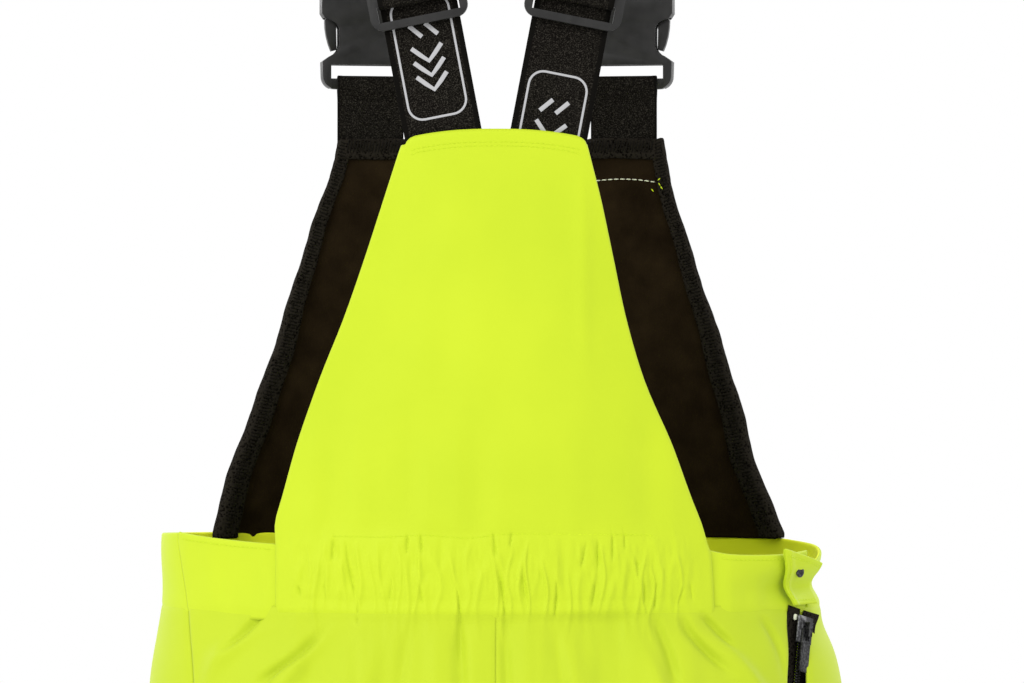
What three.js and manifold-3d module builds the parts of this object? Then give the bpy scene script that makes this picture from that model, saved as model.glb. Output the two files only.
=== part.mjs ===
// Hi-vis chainsaw bib-and-brace trousers in their worn shape, standing on their two hems.
// Millimetres, +Z up. The wearer faces +Y and the wearer's right is +X. The origin is on the
// ground, midway between the legs.
import * as THREE from "three";
import { mergeVertices } from "three/addons/utils/BufferGeometryUtils.js";
import Module from "manifold-3d";

const wasm = await Module();
wasm.setup();

// ---------------------------------------------------------------- driving dimensions
const CROTCH_Z = 785; // inside leg
const SEAT_Z = 900; // where the two legs have fully become one seat
const WAIST_SEAM_Z = 1018; // trousers meet the waistband
const WAIST_Z = 1060; // top of the waistband
const BACK_BIB_Z = 1315; // top of the back bib
const FRONT_BIB_Z = 1320; // top of the front bib

const CLOTH = 1.6; // a shell panel with its seam allowances pressed flat
const GAP = 0.4; // clearance between neighbouring plies
const LEG_GAP = 1.5; // the same on the legs, where the plies curve more
const SEAM = 0.25; // half the clearance between panels that meet edge to edge
const PAD_IN = 4.8; // how far the saw-protective padding lies inside the leg
const BAND_PLY = 3; // waistband: two plies and an interlining
const LINING_IN = 6; // how far the bib lining lies inside the bib's face
const BINDING_IN = 8.4; // how far the knitted edge binding lies inside it

const WEBBING = 1.6; // elastic brace thickness
const BRACE_WIDTH = 48; // 50 mm elastic, necked in under tension
const BRACE_FOOT = new THREE.Vector3(33, -98.7, BACK_BIB_Z); // where a brace leaves the back bib
const BRACE_LEAN = THREE.MathUtils.degToRad(10.8); // outwards from vertical
const BRACE_YAW = THREE.MathUtils.degToRad(5.5); // turned to follow the wearer's back
const BRACE_STRAIGHT = 141; // straight run above the back bib
const ADJUSTER_AT = 85; // its centre, along the straight run
const ADJUSTER_OFF = 2.4; // its back face stands off the brace by this

const BUCKLE_FOOT = new THREE.Vector3(84, 94.2, 1352); // middle of the socket's webbing bar
const BUCKLE_YAW = THREE.MathUtils.degToRad(10);
const SOCKET_HIGH = 68; // from the webbing bar to the socket's mouth
const SOCKET_HALF = 33.2;
const PLUG_HIGH = 27; // the part of the plug that stays outside the socket
const TAB_WIDTH = 44; // webbing that holds the socket to the bib

const ZIP_TOP = new THREE.Vector3(193.2, -40.6, 1014);
const ZIP_FOOT = new THREE.Vector3(176.2, -79.6, 864);
const ZIP_FACING = new THREE.Vector3(0.69, -0.72, 0); // outwards at the zip

const HI_VIS = new THREE.Color(0.86, 0.96, 0.1);
const BLACK = new THREE.Color(0.02, 0.02, 0.02);

const material = (color, roughness, metalness = 0) =>
  new THREE.MeshStandardMaterial({ color, roughness, metalness });
const MATERIALS = {
  shell: material(HI_VIS, 0.8),
  lining: material(BLACK, 0.9),
  binding: material(BLACK, 1),
  elastic: material(BLACK, 0.85),
  plastic: material(new THREE.Color(0.05, 0.05, 0.05), 0.4),
  padding: material(new THREE.Color(0.85, 0.85, 0.8), 0.9),
  reflective: material(new THREE.Color(0.75, 0.76, 0.78), 0.35),
  metal: material(new THREE.Color(0.25, 0.25, 0.25), 0.35, 0.9),
};

const root = new THREE.Group();

function add(parent, name, finish, geometry) {
  const mesh = new THREE.Mesh(geometry, MATERIALS[finish]);
  mesh.name = name;
  parent.add(mesh);
  return mesh;
}

// ---------------------------------------------------------------- helpers for shapes
// A smooth function through a few [place, value] stations, level beyond its ends.
function through(stations) {
  const slope = (i) => {
    const a = stations[Math.max(i - 1, 0)];
    const b = stations[Math.min(i + 1, stations.length - 1)];
    return (b[1] - a[1]) / (b[0] - a[0]);
  };
  return (place) => {
    const last = stations.length - 1;
    if (place <= stations[0][0]) return stations[0][1];
    if (place >= stations[last][0]) return stations[last][1];
    const i = stations.findIndex((s) => s[0] > place) - 1;
    const span = stations[i + 1][0] - stations[i][0];
    const t = (place - stations[i][0]) / span;
    const rise = stations[i][1] * (1 - t) ** 2 * (1 + 2 * t) + stations[i + 1][1] * t * t * (3 - 2 * t);
    return rise + span * (slope(i) * t * (1 - t) ** 2 - slope(i + 1) * t * t * (1 - t));
  };
}

const mix = THREE.MathUtils.lerp;

// A closed solid from a grid of points: rings[row][column], each ring a closed loop.
function loft(rings) {
  const around = rings[0].length;
  const points = rings.flat();
  const index = [];
  const at = (row, column) => row * around + (column % around);
  for (let row = 0; row + 1 < rings.length; row++)
    for (let column = 0; column < around; column++) {
      const [a, b] = [at(row, column), at(row, column + 1)];
      const [c, d] = [at(row + 1, column), at(row + 1, column + 1)];
      // both faces of a ply are split along the same diagonal, so that they never cross
      index.push(...(column < around / 2 ? [a, b, d, a, d, c] : [a, b, c, b, d, c]));
    }
  const last = rings.length - 1;
  for (let k = 1; k < around / 2; k++) {
    // each end is a strip between the loop's two long sides
    const ends = [[0, false], [last, true]];
    for (const [row, flip] of ends) {
      const [a, b] = [at(row, k - 1), at(row, k)];
      const [c, d] = [at(row, around - 1 - k), at(row, around - k)];
      index.push(...(flip ? [a, b, c, a, c, d] : [a, c, b, a, d, c]));
    }
  }
  return facingOut(points, index);
}

// A geometry whose faces point out, whichever way its grid ran.
function facingOut(points, index) {
  let volume = 0;
  for (let i = 0; i < index.length; i += 3) {
    const [a, b, c] = [points[index[i]], points[index[i + 1]], points[index[i + 2]]];
    volume += a.dot(b.clone().cross(c));
  }
  const made = new THREE.BufferGeometry().setFromPoints(points);
  made.setIndex(volume > 0 ? index : index.slice().reverse());
  return made;
}

// The level normal of face(u, v), pointing away from the line that centre(point) gives.
function outward(face, centre, u, v) {
  const step = 1e-3;
  const across = face(Math.min(u + step, 1), v).sub(face(Math.max(u - step, 0), v));
  const along = face(u, Math.min(v + step, 1)).sub(face(u, Math.max(v - step, 0)));
  const normal = across.cross(along).setZ(0).normalize();
  const away = face(u, v).sub(centre(face(u, v)));
  return normal.dot(away) < 0 ? normal.negate() : normal;
}

// A ply of cloth between two depths under face(u, v): a thin closed sheet with four edges.
function ply(face, centre, columns, rows, from, to) {
  const rings = [];
  for (let row = 0; row <= rows; row++) {
    const outer = [];
    const inner = [];
    for (let column = 0; column <= columns; column++) {
      const [u, v] = [column / columns, row / rows];
      const normal = outward(face, centre, u, v);
      outer.push(face(u, v).addScaledVector(normal, -from));
      inner.push(face(u, v).addScaledVector(normal, -to));
    }
    rings.push([...outer, ...inner.reverse()]);
  }
  return loft(rings);
}

// A ply that closes on itself round a leg, such as a hem or a reflective band.
function sleeve(face, centre, columns, rows, from, to) {
  const rings = [];
  for (let column = 0; column < columns; column++) {
    const u = column / columns;
    const section = [];
    for (const [depth, up] of [[from, true], [to, false]])
      for (let k = 0; k <= rows; k++) {
        const v = (up ? k : rows - k) / rows;
        section.push(face(u, v).addScaledVector(outward(face, centre, u, v), -depth));
      }
    rings.push(section);
  }
  const around = rings[0].length;
  const index = [];
  for (let i = 0; i < columns; i++)
    for (let j = 0; j < around; j++) {
      const at = (a, b) => (a % columns) * around + (b % around);
      index.push(at(i, j), at(i, j + 1), at(i + 1, j + 1));
      index.push(at(i, j), at(i + 1, j + 1), at(i + 1, j));
    }
  return facingOut(rings.flat(), index);
}

// A flat shape in the X-Z plane, extruded along Y and centred on it.
function plate(shape, thickness, curveSegments = 6) {
  const made = new THREE.ExtrudeGeometry(shape, { depth: thickness, bevelEnabled: false, curveSegments });
  made.translate(0, 0, -thickness / 2);
  made.rotateX(Math.PI / 2);
  return made;
}

// A shape in the Y-Z plane, extruded along X and centred on it.
function crosswise(shape, width, curveSegments = 6) {
  const made = new THREE.ExtrudeGeometry(shape, { depth: width, bevelEnabled: false, curveSegments });
  made.translate(0, 0, -width / 2);
  made.applyMatrix4(new THREE.Matrix4().set(0, 0, 1, 0, 1, 0, 0, 0, 0, 1, 0, 0, 0, 0, 0, 1));
  return made;
}

function roundedRectangle(width, height, radius, target = new THREE.Shape()) {
  const [w, h] = [width / 2, height / 2];
  target.moveTo(-w + radius, -h);
  target.lineTo(w - radius, -h).absarc(w - radius, -h + radius, radius, -Math.PI / 2, 0);
  target.lineTo(w, h - radius).absarc(w - radius, h - radius, radius, 0, Math.PI / 2);
  target.lineTo(-w + radius, h).absarc(-w + radius, h - radius, radius, Math.PI / 2, Math.PI);
  target.lineTo(-w, -h + radius).absarc(-w + radius, -h + radius, radius, Math.PI, 1.5 * Math.PI);
  return target;
}

const box = (x, y, z) => new THREE.BoxGeometry(x, y, z);

function solidOf(geometry) {
  const bare = geometry.index ? geometry.toNonIndexed() : geometry.clone();
  for (const name of Object.keys(bare.attributes)) if (name !== "position") bare.deleteAttribute(name);
  const merged = mergeVertices(bare, 1e-3);
  return new wasm.Manifold(
    new wasm.Mesh({
      numProp: 3,
      vertProperties: merged.attributes.position.array,
      triVerts: new Uint32Array(merged.index.array),
    }),
  );
}

function geometryOf(solid) {
  const mesh = solid.getMesh();
  const made = new THREE.BufferGeometry();
  made.setAttribute("position", new THREE.BufferAttribute(mesh.vertProperties, 3));
  return made.setIndex(new THREE.BufferAttribute(mesh.triVerts, 1));
}

const cut = (from, ...tools) =>
  geometryOf(tools.reduce((left, tool) => left.subtract(solidOf(tool)), solidOf(from)));
const join = (...pieces) =>
  geometryOf(pieces.slice(1).reduce((left, piece) => left.add(solidOf(piece)), solidOf(pieces[0])));

// ---------------------------------------------------------------- the trousers' form
// Each station is [height, millimetres]. The right half is drawn and the left mirrors it.
const sideX = through([[0, 203], [250, 200], [480, 208], [700, 231], [860, 236], [968, 221], [1018, 211], [WAIST_Z, 211]]);
const seatBack = through([[SEAT_Z, 123.75], [968, 118], [1018, 110], [WAIST_Z, 106], [1330, 104]]);
const seatFront = through([[SEAT_Z, 123.75], [968, 120], [1018, 114], [WAIST_Z, 110], [1330, 106]]);
const legBack = through([[0, 80], [480, 90], [700, 112], [860, 122]]);
const legFront = through([[0, 80], [480, 92], [700, 108], [860, 112]]);
// Where the side seam lies between the centre back (0) and the widest point of the side (1).
const sideSeam = through([[0, 0.95], [480, 0.86], [700, 0.66], [865, 0.56], [975, 0.665], [WAIST_SEAM_Z, 0.735], [WAIST_Z, 0.78]]);

// How much of the seat is left at a height: 1 above the seat line, 0 at the crotch, along an arc.
const seatShare = (z) => {
  const down = THREE.MathUtils.clamp((SEAT_Z - z) / (SEAT_Z - CROTCH_Z), 0, 1);
  return Math.sqrt(1 - down * down);
};

// The inseam's distance from the middle: an arch under the crotch, then legs that part.
const INSEAM_ARCH = 60;
const innerX = (z) => {
  const below = Math.max(CROTCH_Z - z, 0);
  const arch = Math.max(1 - below / INSEAM_ARCH, 0);
  return SEAM + 20 * Math.sqrt(1 - arch * arch) + (30 * below) / CROTCH_Z;
};

// The outline of the right half at height z. share runs from 0 at the centre back or inseam,
// through 1 at the widest point of the side, to 2 at the centre front or inseam.
function body(share, z) {
  const back = share <= 1;
  const t = back ? share : 2 - share;
  const seat = seatShare(z);
  const turn = (1 - seat) * (Math.PI / 2);
  const rounding = Math.sqrt(1 - seat);
  const depth = SEAM + (back ? seatBack(z) : seatFront(z)) * seat;
  const legDepth = (4 / 3) * (back ? legBack(z) : legFront(z));
  const [x0, x1] = [innerX(z), sideX(z)];
  const quarter = 0.5523;
  const startReach = mix(quarter * (x1 - x0), legDepth, rounding);
  const endReach = mix(quarter * depth, legDepth, rounding);
  const curve = new THREE.CubicBezierCurve(
    new THREE.Vector2(x0, depth),
    new THREE.Vector2(x0 + Math.cos(turn) * startReach, depth + Math.sin(turn) * startReach),
    new THREE.Vector2(x1, endReach),
    new THREE.Vector2(x1, 0),
  );
  const p = curve.getPoint(t);
  return new THREE.Vector3(p.x, back ? -p.y : p.y, z);
}
const legCentre = (p) => new THREE.Vector3((innerX(p.z) + sideX(p.z)) / 2, 0, p.z);
const trunkCentre = (p) => new THREE.Vector3(0, 0, p.z);

// Rows from the waist seam to the hem, closer together round the crotch.
const ROWS_SEAT = 3;
const ROWS_CROTCH = 7;
const ROWS_ARCH = 4;
const ROWS_LEG = 13;
const ROWS = ROWS_SEAT + ROWS_CROTCH + ROWS_ARCH + ROWS_LEG;
function rowHeight(v) {
  const row = v * ROWS;
  const quarterTurn = (share) => (share * Math.PI) / 2;
  if (row <= ROWS_SEAT) return mix(WAIST_SEAM_Z, SEAT_Z, row / ROWS_SEAT);
  const crotch = (row - ROWS_SEAT) / ROWS_CROTCH;
  if (crotch <= 1) return SEAT_Z - (SEAT_Z - CROTCH_Z) * Math.sin(quarterTurn(crotch));
  const arch = (crotch - 1) * (ROWS_CROTCH / ROWS_ARCH);
  if (arch <= 1) return CROTCH_Z - INSEAM_ARCH * (1 - Math.cos(quarterTurn(arch)));
  return mix(CROTCH_Z - INSEAM_ARCH, 0, (row - ROWS + ROWS_LEG) / ROWS_LEG);
}

// A patch of the trousers between two heights and two shares, which may vary with height.
const patch = (low, high, from, to) => (u, v) => {
  const z = mix(high, low, v);
  const at = (share) => (typeof share === "function" ? share(z) : share);
  return body(mix(at(from), at(to), u), z);
};

const twoSides = (make) => {
  for (const [side, scale] of [["right", 1], ["left", -1]]) {
    const half = new THREE.Group();
    half.scale.x = scale;
    root.add(half);
    make(half, side);
  }
};

// ---------------------------------------------------------------- side zip: its own axes
const zipDown = ZIP_FOOT.clone().sub(ZIP_TOP).normalize();
const zipOut = ZIP_FACING.clone().addScaledVector(zipDown, -ZIP_FACING.dot(zipDown)).normalize();
const zipAcross = zipDown.clone().cross(zipOut).normalize(); // towards the back panel
const ZIP_LONG = ZIP_TOP.distanceTo(ZIP_FOOT);
const TAPE_WIDTH = 15; // one side of the zip
const TAPE_ABOVE = 2; // tape ends above the top stop
const TEETH = 2.4; // thickness and half-width of the chain
const SLIDER = { wide: 13, high: 17, thick: 8.4 };

const zip = new THREE.Group();
zip.matrixAutoUpdate = false;
zip.matrix.makeBasis(zipAcross, zipOut, zipDown.clone().negate()).setPosition(ZIP_TOP);
root.add(zip);

function zipOpening() {
  const tool = box(2 * TAPE_WIDTH + 1.6, 60, ZIP_LONG + 30);
  tool.translate(0, 0, -ZIP_LONG / 2 + 17);
  return tool.applyMatrix4(zip.matrix);
}

// ---------------------------------------------------------------- trousers
twoSides((half, side) => {
  const rowed = (from, to) => (u, v) => {
    const z = rowHeight(v);
    return body(mix(from(z), to(z), u), z);
  };
  const seamEdge = (z) => sideSeam(z) - SEAM / 120;
  const back = ply(rowed(() => 0, seamEdge), legCentre, 9, ROWS, 0, CLOTH);
  const front = ply(rowed((z) => sideSeam(z) + SEAM / 120, () => 2), legCentre, 12, ROWS, 0, CLOTH);
  const open = side === "right";
  add(half, `trouser_back_${side}`, "shell", open ? cut(back, zipOpening()) : back);
  add(half, `trouser_front_${side}`, "shell", open ? cut(front, zipOpening()) : front);

  // Saw-protective pad, inside the front of the leg.
  const padded = patch(120, 718, 1.03, 1.85);
  add(half, `saw_pad_${side}`, "padding", ply(padded, legCentre, 12, 12, PAD_IN, PAD_IN + 5));

  // Turned-up hem, knee and ankle reinforcements, reflective bands.
  const round = (low, high) => patch(low, high, 0, 2);
  add(half, `hem_${side}`, "shell", sleeve(round(0, 24), legCentre, 24, 1, CLOTH + LEG_GAP, CLOTH + LEG_GAP + 2));
  add(half, `knee_patch_${side}`, "elastic", ply(patch(395, 590, 1.3, 1.78), legCentre, 6, 5, -LEG_GAP - 1.2, -LEG_GAP));
  add(half, `ankle_patch_${side}`, "elastic", sleeve(round(8, 120), legCentre, 24, 2, -LEG_GAP - 1.2, -LEG_GAP));
  for (const [place, low] of [["lower", 160], ["upper", 290]])
    add(half, `reflective_band_${place}_${side}`, "reflective", sleeve(round(low, low + 50), legCentre, 24, 1, -LEG_GAP - 0.8, -LEG_GAP));
});

// ---------------------------------------------------------------- bibs
const trunkHalf = through([[WAIST_Z, 211], [1330, 229]]);
const trunk = (x, z, facing) => {
  const depth = facing > 0 ? seatFront(z) : seatBack(z);
  const half = facing > 0 ? trunkHalf(z) : mix(211, 187, THREE.MathUtils.clamp((z - WAIST_Z) / 270, 0, 1));
  return new THREE.Vector3(x, facing * depth * Math.sqrt(1 - (x / half) ** 2), z);
};
const backBibHalf = through([[WAIST_SEAM_Z, 134], [1068, 134], [1150, 106], [1235, 77], [1300, 60], [BACK_BIB_Z, 55]]);
const frontBibHalf = through([[WAIST_Z, 188], [1150, 160], [1240, 131], [1300, 114.5], [FRONT_BIB_Z, 109]]);
const bib = (facing, halfAt, low, high) => (u, v) => {
  const z = mix(high, low, v);
  return trunk(mix(-1, 1, u) * halfAt(z), z, facing);
};

add(root, "back_bib", "shell", ply(bib(-1, backBibHalf, WAIST_SEAM_Z + GAP, BACK_BIB_Z), trunkCentre, 12, 14, 0, CLOTH));
const elasticHalf = () => 124;
const elasticIn = CLOTH + GAP;
add(root, "waist_elastic", "elastic", ply(bib(-1, elasticHalf, WAIST_SEAM_Z + 2, WAIST_Z - 2), trunkCentre, 10, 2, elasticIn, elasticIn + 1.6));
const casingIn = elasticIn + 1.6 + GAP;
add(root, "elastic_casing", "shell", ply(bib(-1, () => 132, WAIST_SEAM_Z + GAP, WAIST_Z), trunkCentre, 10, 2, casingIn, casingIn + 1));

const bibFoot = WAIST_Z + GAP;
add(root, "front_bib_shell", "shell", ply(bib(1, frontBibHalf, bibFoot, FRONT_BIB_Z), trunkCentre, 14, 10, 0, CLOTH));
add(root, "front_bib_lining", "lining", ply(bib(1, (z) => frontBibHalf(z) - 1, bibFoot, FRONT_BIB_Z - 1), trunkCentre, 18, 10, LINING_IN, LINING_IN + 1.2));
add(root, "bib_top_binding", "binding", ply(bib(1, frontBibHalf, FRONT_BIB_Z - 12, FRONT_BIB_Z + 1), trunkCentre, 12, 1, BINDING_IN, BINDING_IN + 1.4));
const sideBinding = (u, v) => {
  const z = mix(FRONT_BIB_Z - 12 - GAP, bibFoot, v);
  return trunk(frontBibHalf(z) - mix(14, 0, u), z, 1);
};
twoSides((half, side) =>
  add(half, `bib_side_binding_${side}`, "binding", ply(sideBinding, trunkCentre, 2, 10, BINDING_IN, BINDING_IN + 1.4)),
);

// ---------------------------------------------------------------- chest pocket with its flap
const POCKET = { left: -42, right: 92, top: 1292, bottom: 1166 };
const FLAP_DROP = 40;
const flatOnBib = (left, right, low, high) => (u, v) => trunk(mix(left, right, u), mix(high, low, v), 1);
add(root, "chest_pocket", "shell", ply(flatOnBib(POCKET.left, POCKET.right, POCKET.bottom, POCKET.top - 8), trunkCentre, 6, 4, -GAP - 1.8, -GAP));
const flapOut = 2 * GAP + 1.8;
add(root, "chest_pocket_flap", "shell", ply(flatOnBib(POCKET.left - 3, POCKET.right + 3, POCKET.top - FLAP_DROP, POCKET.top), trunkCentre, 6, 2, -flapOut - 2, -flapOut));

// ---------------------------------------------------------------- waistband
const bandShare = (x) => (2 / Math.PI) * Math.asin(x / 211) * 0.985 + 0.008;
const BIB_EDGE_SHARE = bandShare(134 + 2 * GAP);
const band = (from, to) => patch(WAIST_SEAM_Z + GAP, WAIST_Z, from, to);
const TAB = { free: 0.665, root: 0.83, out: 4.6 }; // shares where the waist tab ends and hinges
add(root, "waistband_back_right", "shell", ply(band(BIB_EDGE_SHARE, TAB.root - 0.012), trunkCentre, 5, 2, 0, BAND_PLY));
const leftBand = new THREE.Group();
leftBand.scale.x = -1;
root.add(leftBand);
add(leftBand, "waistband_back_left", "shell", ply(band(BIB_EDGE_SHARE, sideSeam), trunkCentre, 5, 2, 0, BAND_PLY));
// The front band runs from the tab's root, round the front, to the left side seam.
const frontBand = (u, v) => {
  const z = mix(WAIST_Z, WAIST_SEAM_Z + GAP, v);
  const share = mix(TAB.root + 0.004, 4 - sideSeam(z) - 0.006, u);
  const p = body(share <= 2 ? share : 4 - share, z);
  return share <= 2 ? p : p.setX(-p.x);
};
add(root, "waistband_front", "shell", ply(frontBand, trunkCentre, 20, 2, 0, BAND_PLY));
// The overlapping tab that the stud closes. It stands off the band by the stud's height.
add(root, "waist_tab", "shell", ply(band(TAB.free, TAB.root - 0.004), trunkCentre, 4, 2, -TAB.out - 1.6, -TAB.out));

// The stud's cap is on the tab, its post on the band beneath.
const STUD_SHARE = 0.72;
const STUD_Z = 1040;
const studFoot = body(STUD_SHARE, STUD_Z);
const studOut = outward(band(0.6, 0.9), trunkCentre, 0.4, 0.5);
const stud = new THREE.Group();
stud.position.copy(studFoot);
stud.quaternion.setFromUnitVectors(new THREE.Vector3(0, 0, 1), studOut);
root.add(stud);
const disc = (radius, low, high, sides = 20) =>
  new THREE.CylinderGeometry(radius, radius, high - low, sides).rotateX(Math.PI / 2).translate(0, 0, (low + high) / 2);
add(stud, "stud_post", "metal", join(disc(6.5, 0.3, 1.5), disc(2.6, 1.4, 3.6)));
const capLow = TAB.out + 1.6 + 0.3;
add(stud, "stud_cap", "metal", join(disc(7.5, capLow, capLow + 2), disc(5.8, capLow + 1.9, capLow + 2.8)));

// ---------------------------------------------------------------- side zip
const chainLow = -ZIP_LONG;
for (const [name, sign] of [["back", 1], ["front", -1]]) {
  const tape = box(TAPE_WIDTH - 1.2, 0.9, ZIP_LONG + TAPE_ABOVE);
  tape.translate(sign * (TAPE_WIDTH / 2 + 0.6), -1.2, (TAPE_ABOVE - ZIP_LONG) / 2);
  const row = box(TEETH - 0.9, TEETH, ZIP_LONG - 2);
  row.translate(sign * (0.9 + (TEETH - 0.9) / 2), 0.6, -ZIP_LONG / 2);
  add(zip, `side_zip_tape_${name}`, "elastic", tape);
  add(zip, `side_zip_teeth_${name}`, "plastic", row);
}
add(zip, "side_zip_bottom_stop", "metal", box(7, 3.4, 4).translate(0, 0.9, chainLow - 2.4));
// Two plates, joined by a web that runs between the two rows of teeth.
const plateAt = (y) => box(SLIDER.wide, 1.6, SLIDER.high).translate(0, y, 0);
const web = box(1.1, 6, SLIDER.high).translate(0, 0.4, 0);
const bridge = cut(box(3.4, 5, 9), box(5, 3, 5).translate(0, -1.4, 0)).translate(0, 5.9, 0);
const sliderBody = join(plateAt(-2.9), plateAt(3), web, bridge);
const SLIDER_AT = -SLIDER.high / 2 - 3;
add(zip, "side_zip_slider", "metal", sliderBody).position.z = SLIDER_AT;
// The pull hangs from the bridge: a ring round it and a tab below.
const PULL = { wide: 8, high: 28, thick: 1.3 };
const pullShape = roundedRectangle(PULL.wide, PULL.high, 2);
pullShape.holes.push(roundedRectangle(4.6, 6.4, 0.8, new THREE.Path()));
const pullHole = pullShape.holes[0];
pullHole.curves.forEach((curve) => shiftCurve(curve, PULL.high / 2 - 4.9));
function shiftCurve(curve, up) {
  if (curve.isLineCurve) [curve.v1.y, curve.v2.y] = [curve.v1.y + up, curve.v2.y + up];
  else curve.aY += up;
}
const PULL_HINGE = { out: 4.9, up: SLIDER_AT };
const pull = plate(pullShape, PULL.thick, 3).translate(0, 0, 0.85 - PULL.high / 2);
add(zip, "side_zip_pull", "metal", pull).position.set(0, PULL_HINGE.out, PULL_HINGE.up);

// ---------------------------------------------------------------- braces, adjusters, buckles
// A loop of webbing round a bar, with a tail: a ring about the origin that narrows upwards.
function loopShape(barHalfY, barHalfZ, tailTop, thickness, offset = 0) {
  const [outY, outZ] = [barHalfY + thickness, barHalfZ + thickness];
  const shape = new THREE.Shape();
  const tail = thickness / 2;
  shape.moveTo(offset - tail, tailTop).lineTo(offset - tail, outZ + 5).lineTo(-outY, outZ);
  shape.lineTo(-outY, -outZ + 1).lineTo(-outY + 1, -outZ).lineTo(outY - 1, -outZ).lineTo(outY, -outZ + 1);
  shape.lineTo(outY, outZ).lineTo(offset + tail, outZ + 5).lineTo(offset + tail, tailTop);
  const hole = new THREE.Path();
  hole.moveTo(-barHalfY, -barHalfZ).lineTo(barHalfY, -barHalfZ);
  hole.lineTo(barHalfY, barHalfZ).lineTo(-barHalfY, barHalfZ);
  shape.holes.push(hole);
  return shape;
}

// A flat strap along a curve. Its width stays level with across(t), squared to the curve.
function strap(curve, across, width, thickness, steps, rise = 0) {
  const rings = [];
  for (let i = 0; i <= steps; i++) {
    const t = i / steps;
    const tangent = curve.getTangentAt(t);
    const wide = across(t).addScaledVector(tangent, -across(t).dot(tangent)).normalize();
    const thick = wide.clone().cross(tangent).normalize();
    const centre = curve.getPointAt(t).addScaledVector(thick, rise);
    const corner = (w, h) => centre.clone().addScaledVector(wide, (w * width) / 2).addScaledVector(thick, (h * thickness) / 2);
    rings.push([corner(-1, 1), corner(1, 1), corner(1, -1), corner(-1, -1)]);
  }
  return loft(rings);
}

twoSides((half, side) => {
  // Back run: X across the brace, Y towards the wearer, Z up along the brace.
  const run = new THREE.Group();
  run.position.copy(BRACE_FOOT);
  run.rotation.set(0, BRACE_LEAN, BRACE_YAW, "ZYX");
  half.add(run);
  run.updateMatrix();
  add(run, `brace_back_run_${side}`, "elastic", box(BRACE_WIDTH, WEBBING, BRACE_STRAIGHT + 11).translate(0, 0, (BRACE_STRAIGHT - 11) / 2));

  // Adjuster: a frame with two slots and a centre bar.
  const frame = roundedRectangle(61, 36, 8);
  for (const up of [-8, 8]) {
    const slot = new THREE.Path();
    slot.moveTo(-25.5, up - 5).lineTo(25.5, up - 5).lineTo(25.5, up + 5).lineTo(-25.5, up + 5);
    frame.holes.push(slot);
  }
  const ADJUSTER_THICK = 4;
  const adjusterY = -WEBBING / 2 - ADJUSTER_OFF - ADJUSTER_THICK / 2;
  add(run, `adjuster_${side}`, "plastic", plate(frame, ADJUSTER_THICK)).position.set(0, adjusterY, ADJUSTER_AT);
  // The brace's free end: sewn round the centre bar, then up in front of the run.
  const returnY = -WEBBING - GAP - adjusterY;
  const endLoop = loopShape(ADJUSTER_THICK / 2 + 0.3, 3.3, BRACE_STRAIGHT - ADJUSTER_AT - GAP, WEBBING, returnY);
  add(run, `brace_return_ply_${side}`, "elastic", crosswise(endLoop, BRACE_WIDTH)).position.set(0, adjusterY, ADJUSTER_AT);

  // Over the shoulder both plies lie together. Its curve starts along the back run.
  const start = new THREE.Vector3(0, 0, BRACE_STRAIGHT + GAP).applyMatrix4(run.matrix);
  const up = new THREE.Vector3(0, 0, 1).transformDirection(run.matrix);
  const end = BUCKLE_FOOT.clone().add(new THREE.Vector3(0, 0, SOCKET_HIGH + 40));
  const curve = new THREE.CubicBezierCurve3(start, start.clone().addScaledVector(up, 76), end.clone().add(new THREE.Vector3(0, 0, 72)), end);
  const acrossStart = new THREE.Vector3(1, 0, 0).transformDirection(run.matrix);
  const acrossEnd = new THREE.Vector3(1, 0, 0).applyAxisAngle(new THREE.Vector3(0, 0, 1), -BUCKLE_YAW);
  const across = (t) => acrossStart.clone().lerp(acrossEnd, t).normalize();
  add(half, `brace_shoulder_run_${side}`, "elastic", strap(curve, across, BRACE_WIDTH, 2 * WEBBING + GAP, 16, (WEBBING + GAP) / 2));

  // Front: the plug hangs from the brace and clicks into the socket on the bib.
  const front = new THREE.Group();
  front.position.copy(BUCKLE_FOOT);
  front.rotation.z = -BUCKLE_YAW;
  half.add(front);
  buckle(front, side);
});

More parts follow.
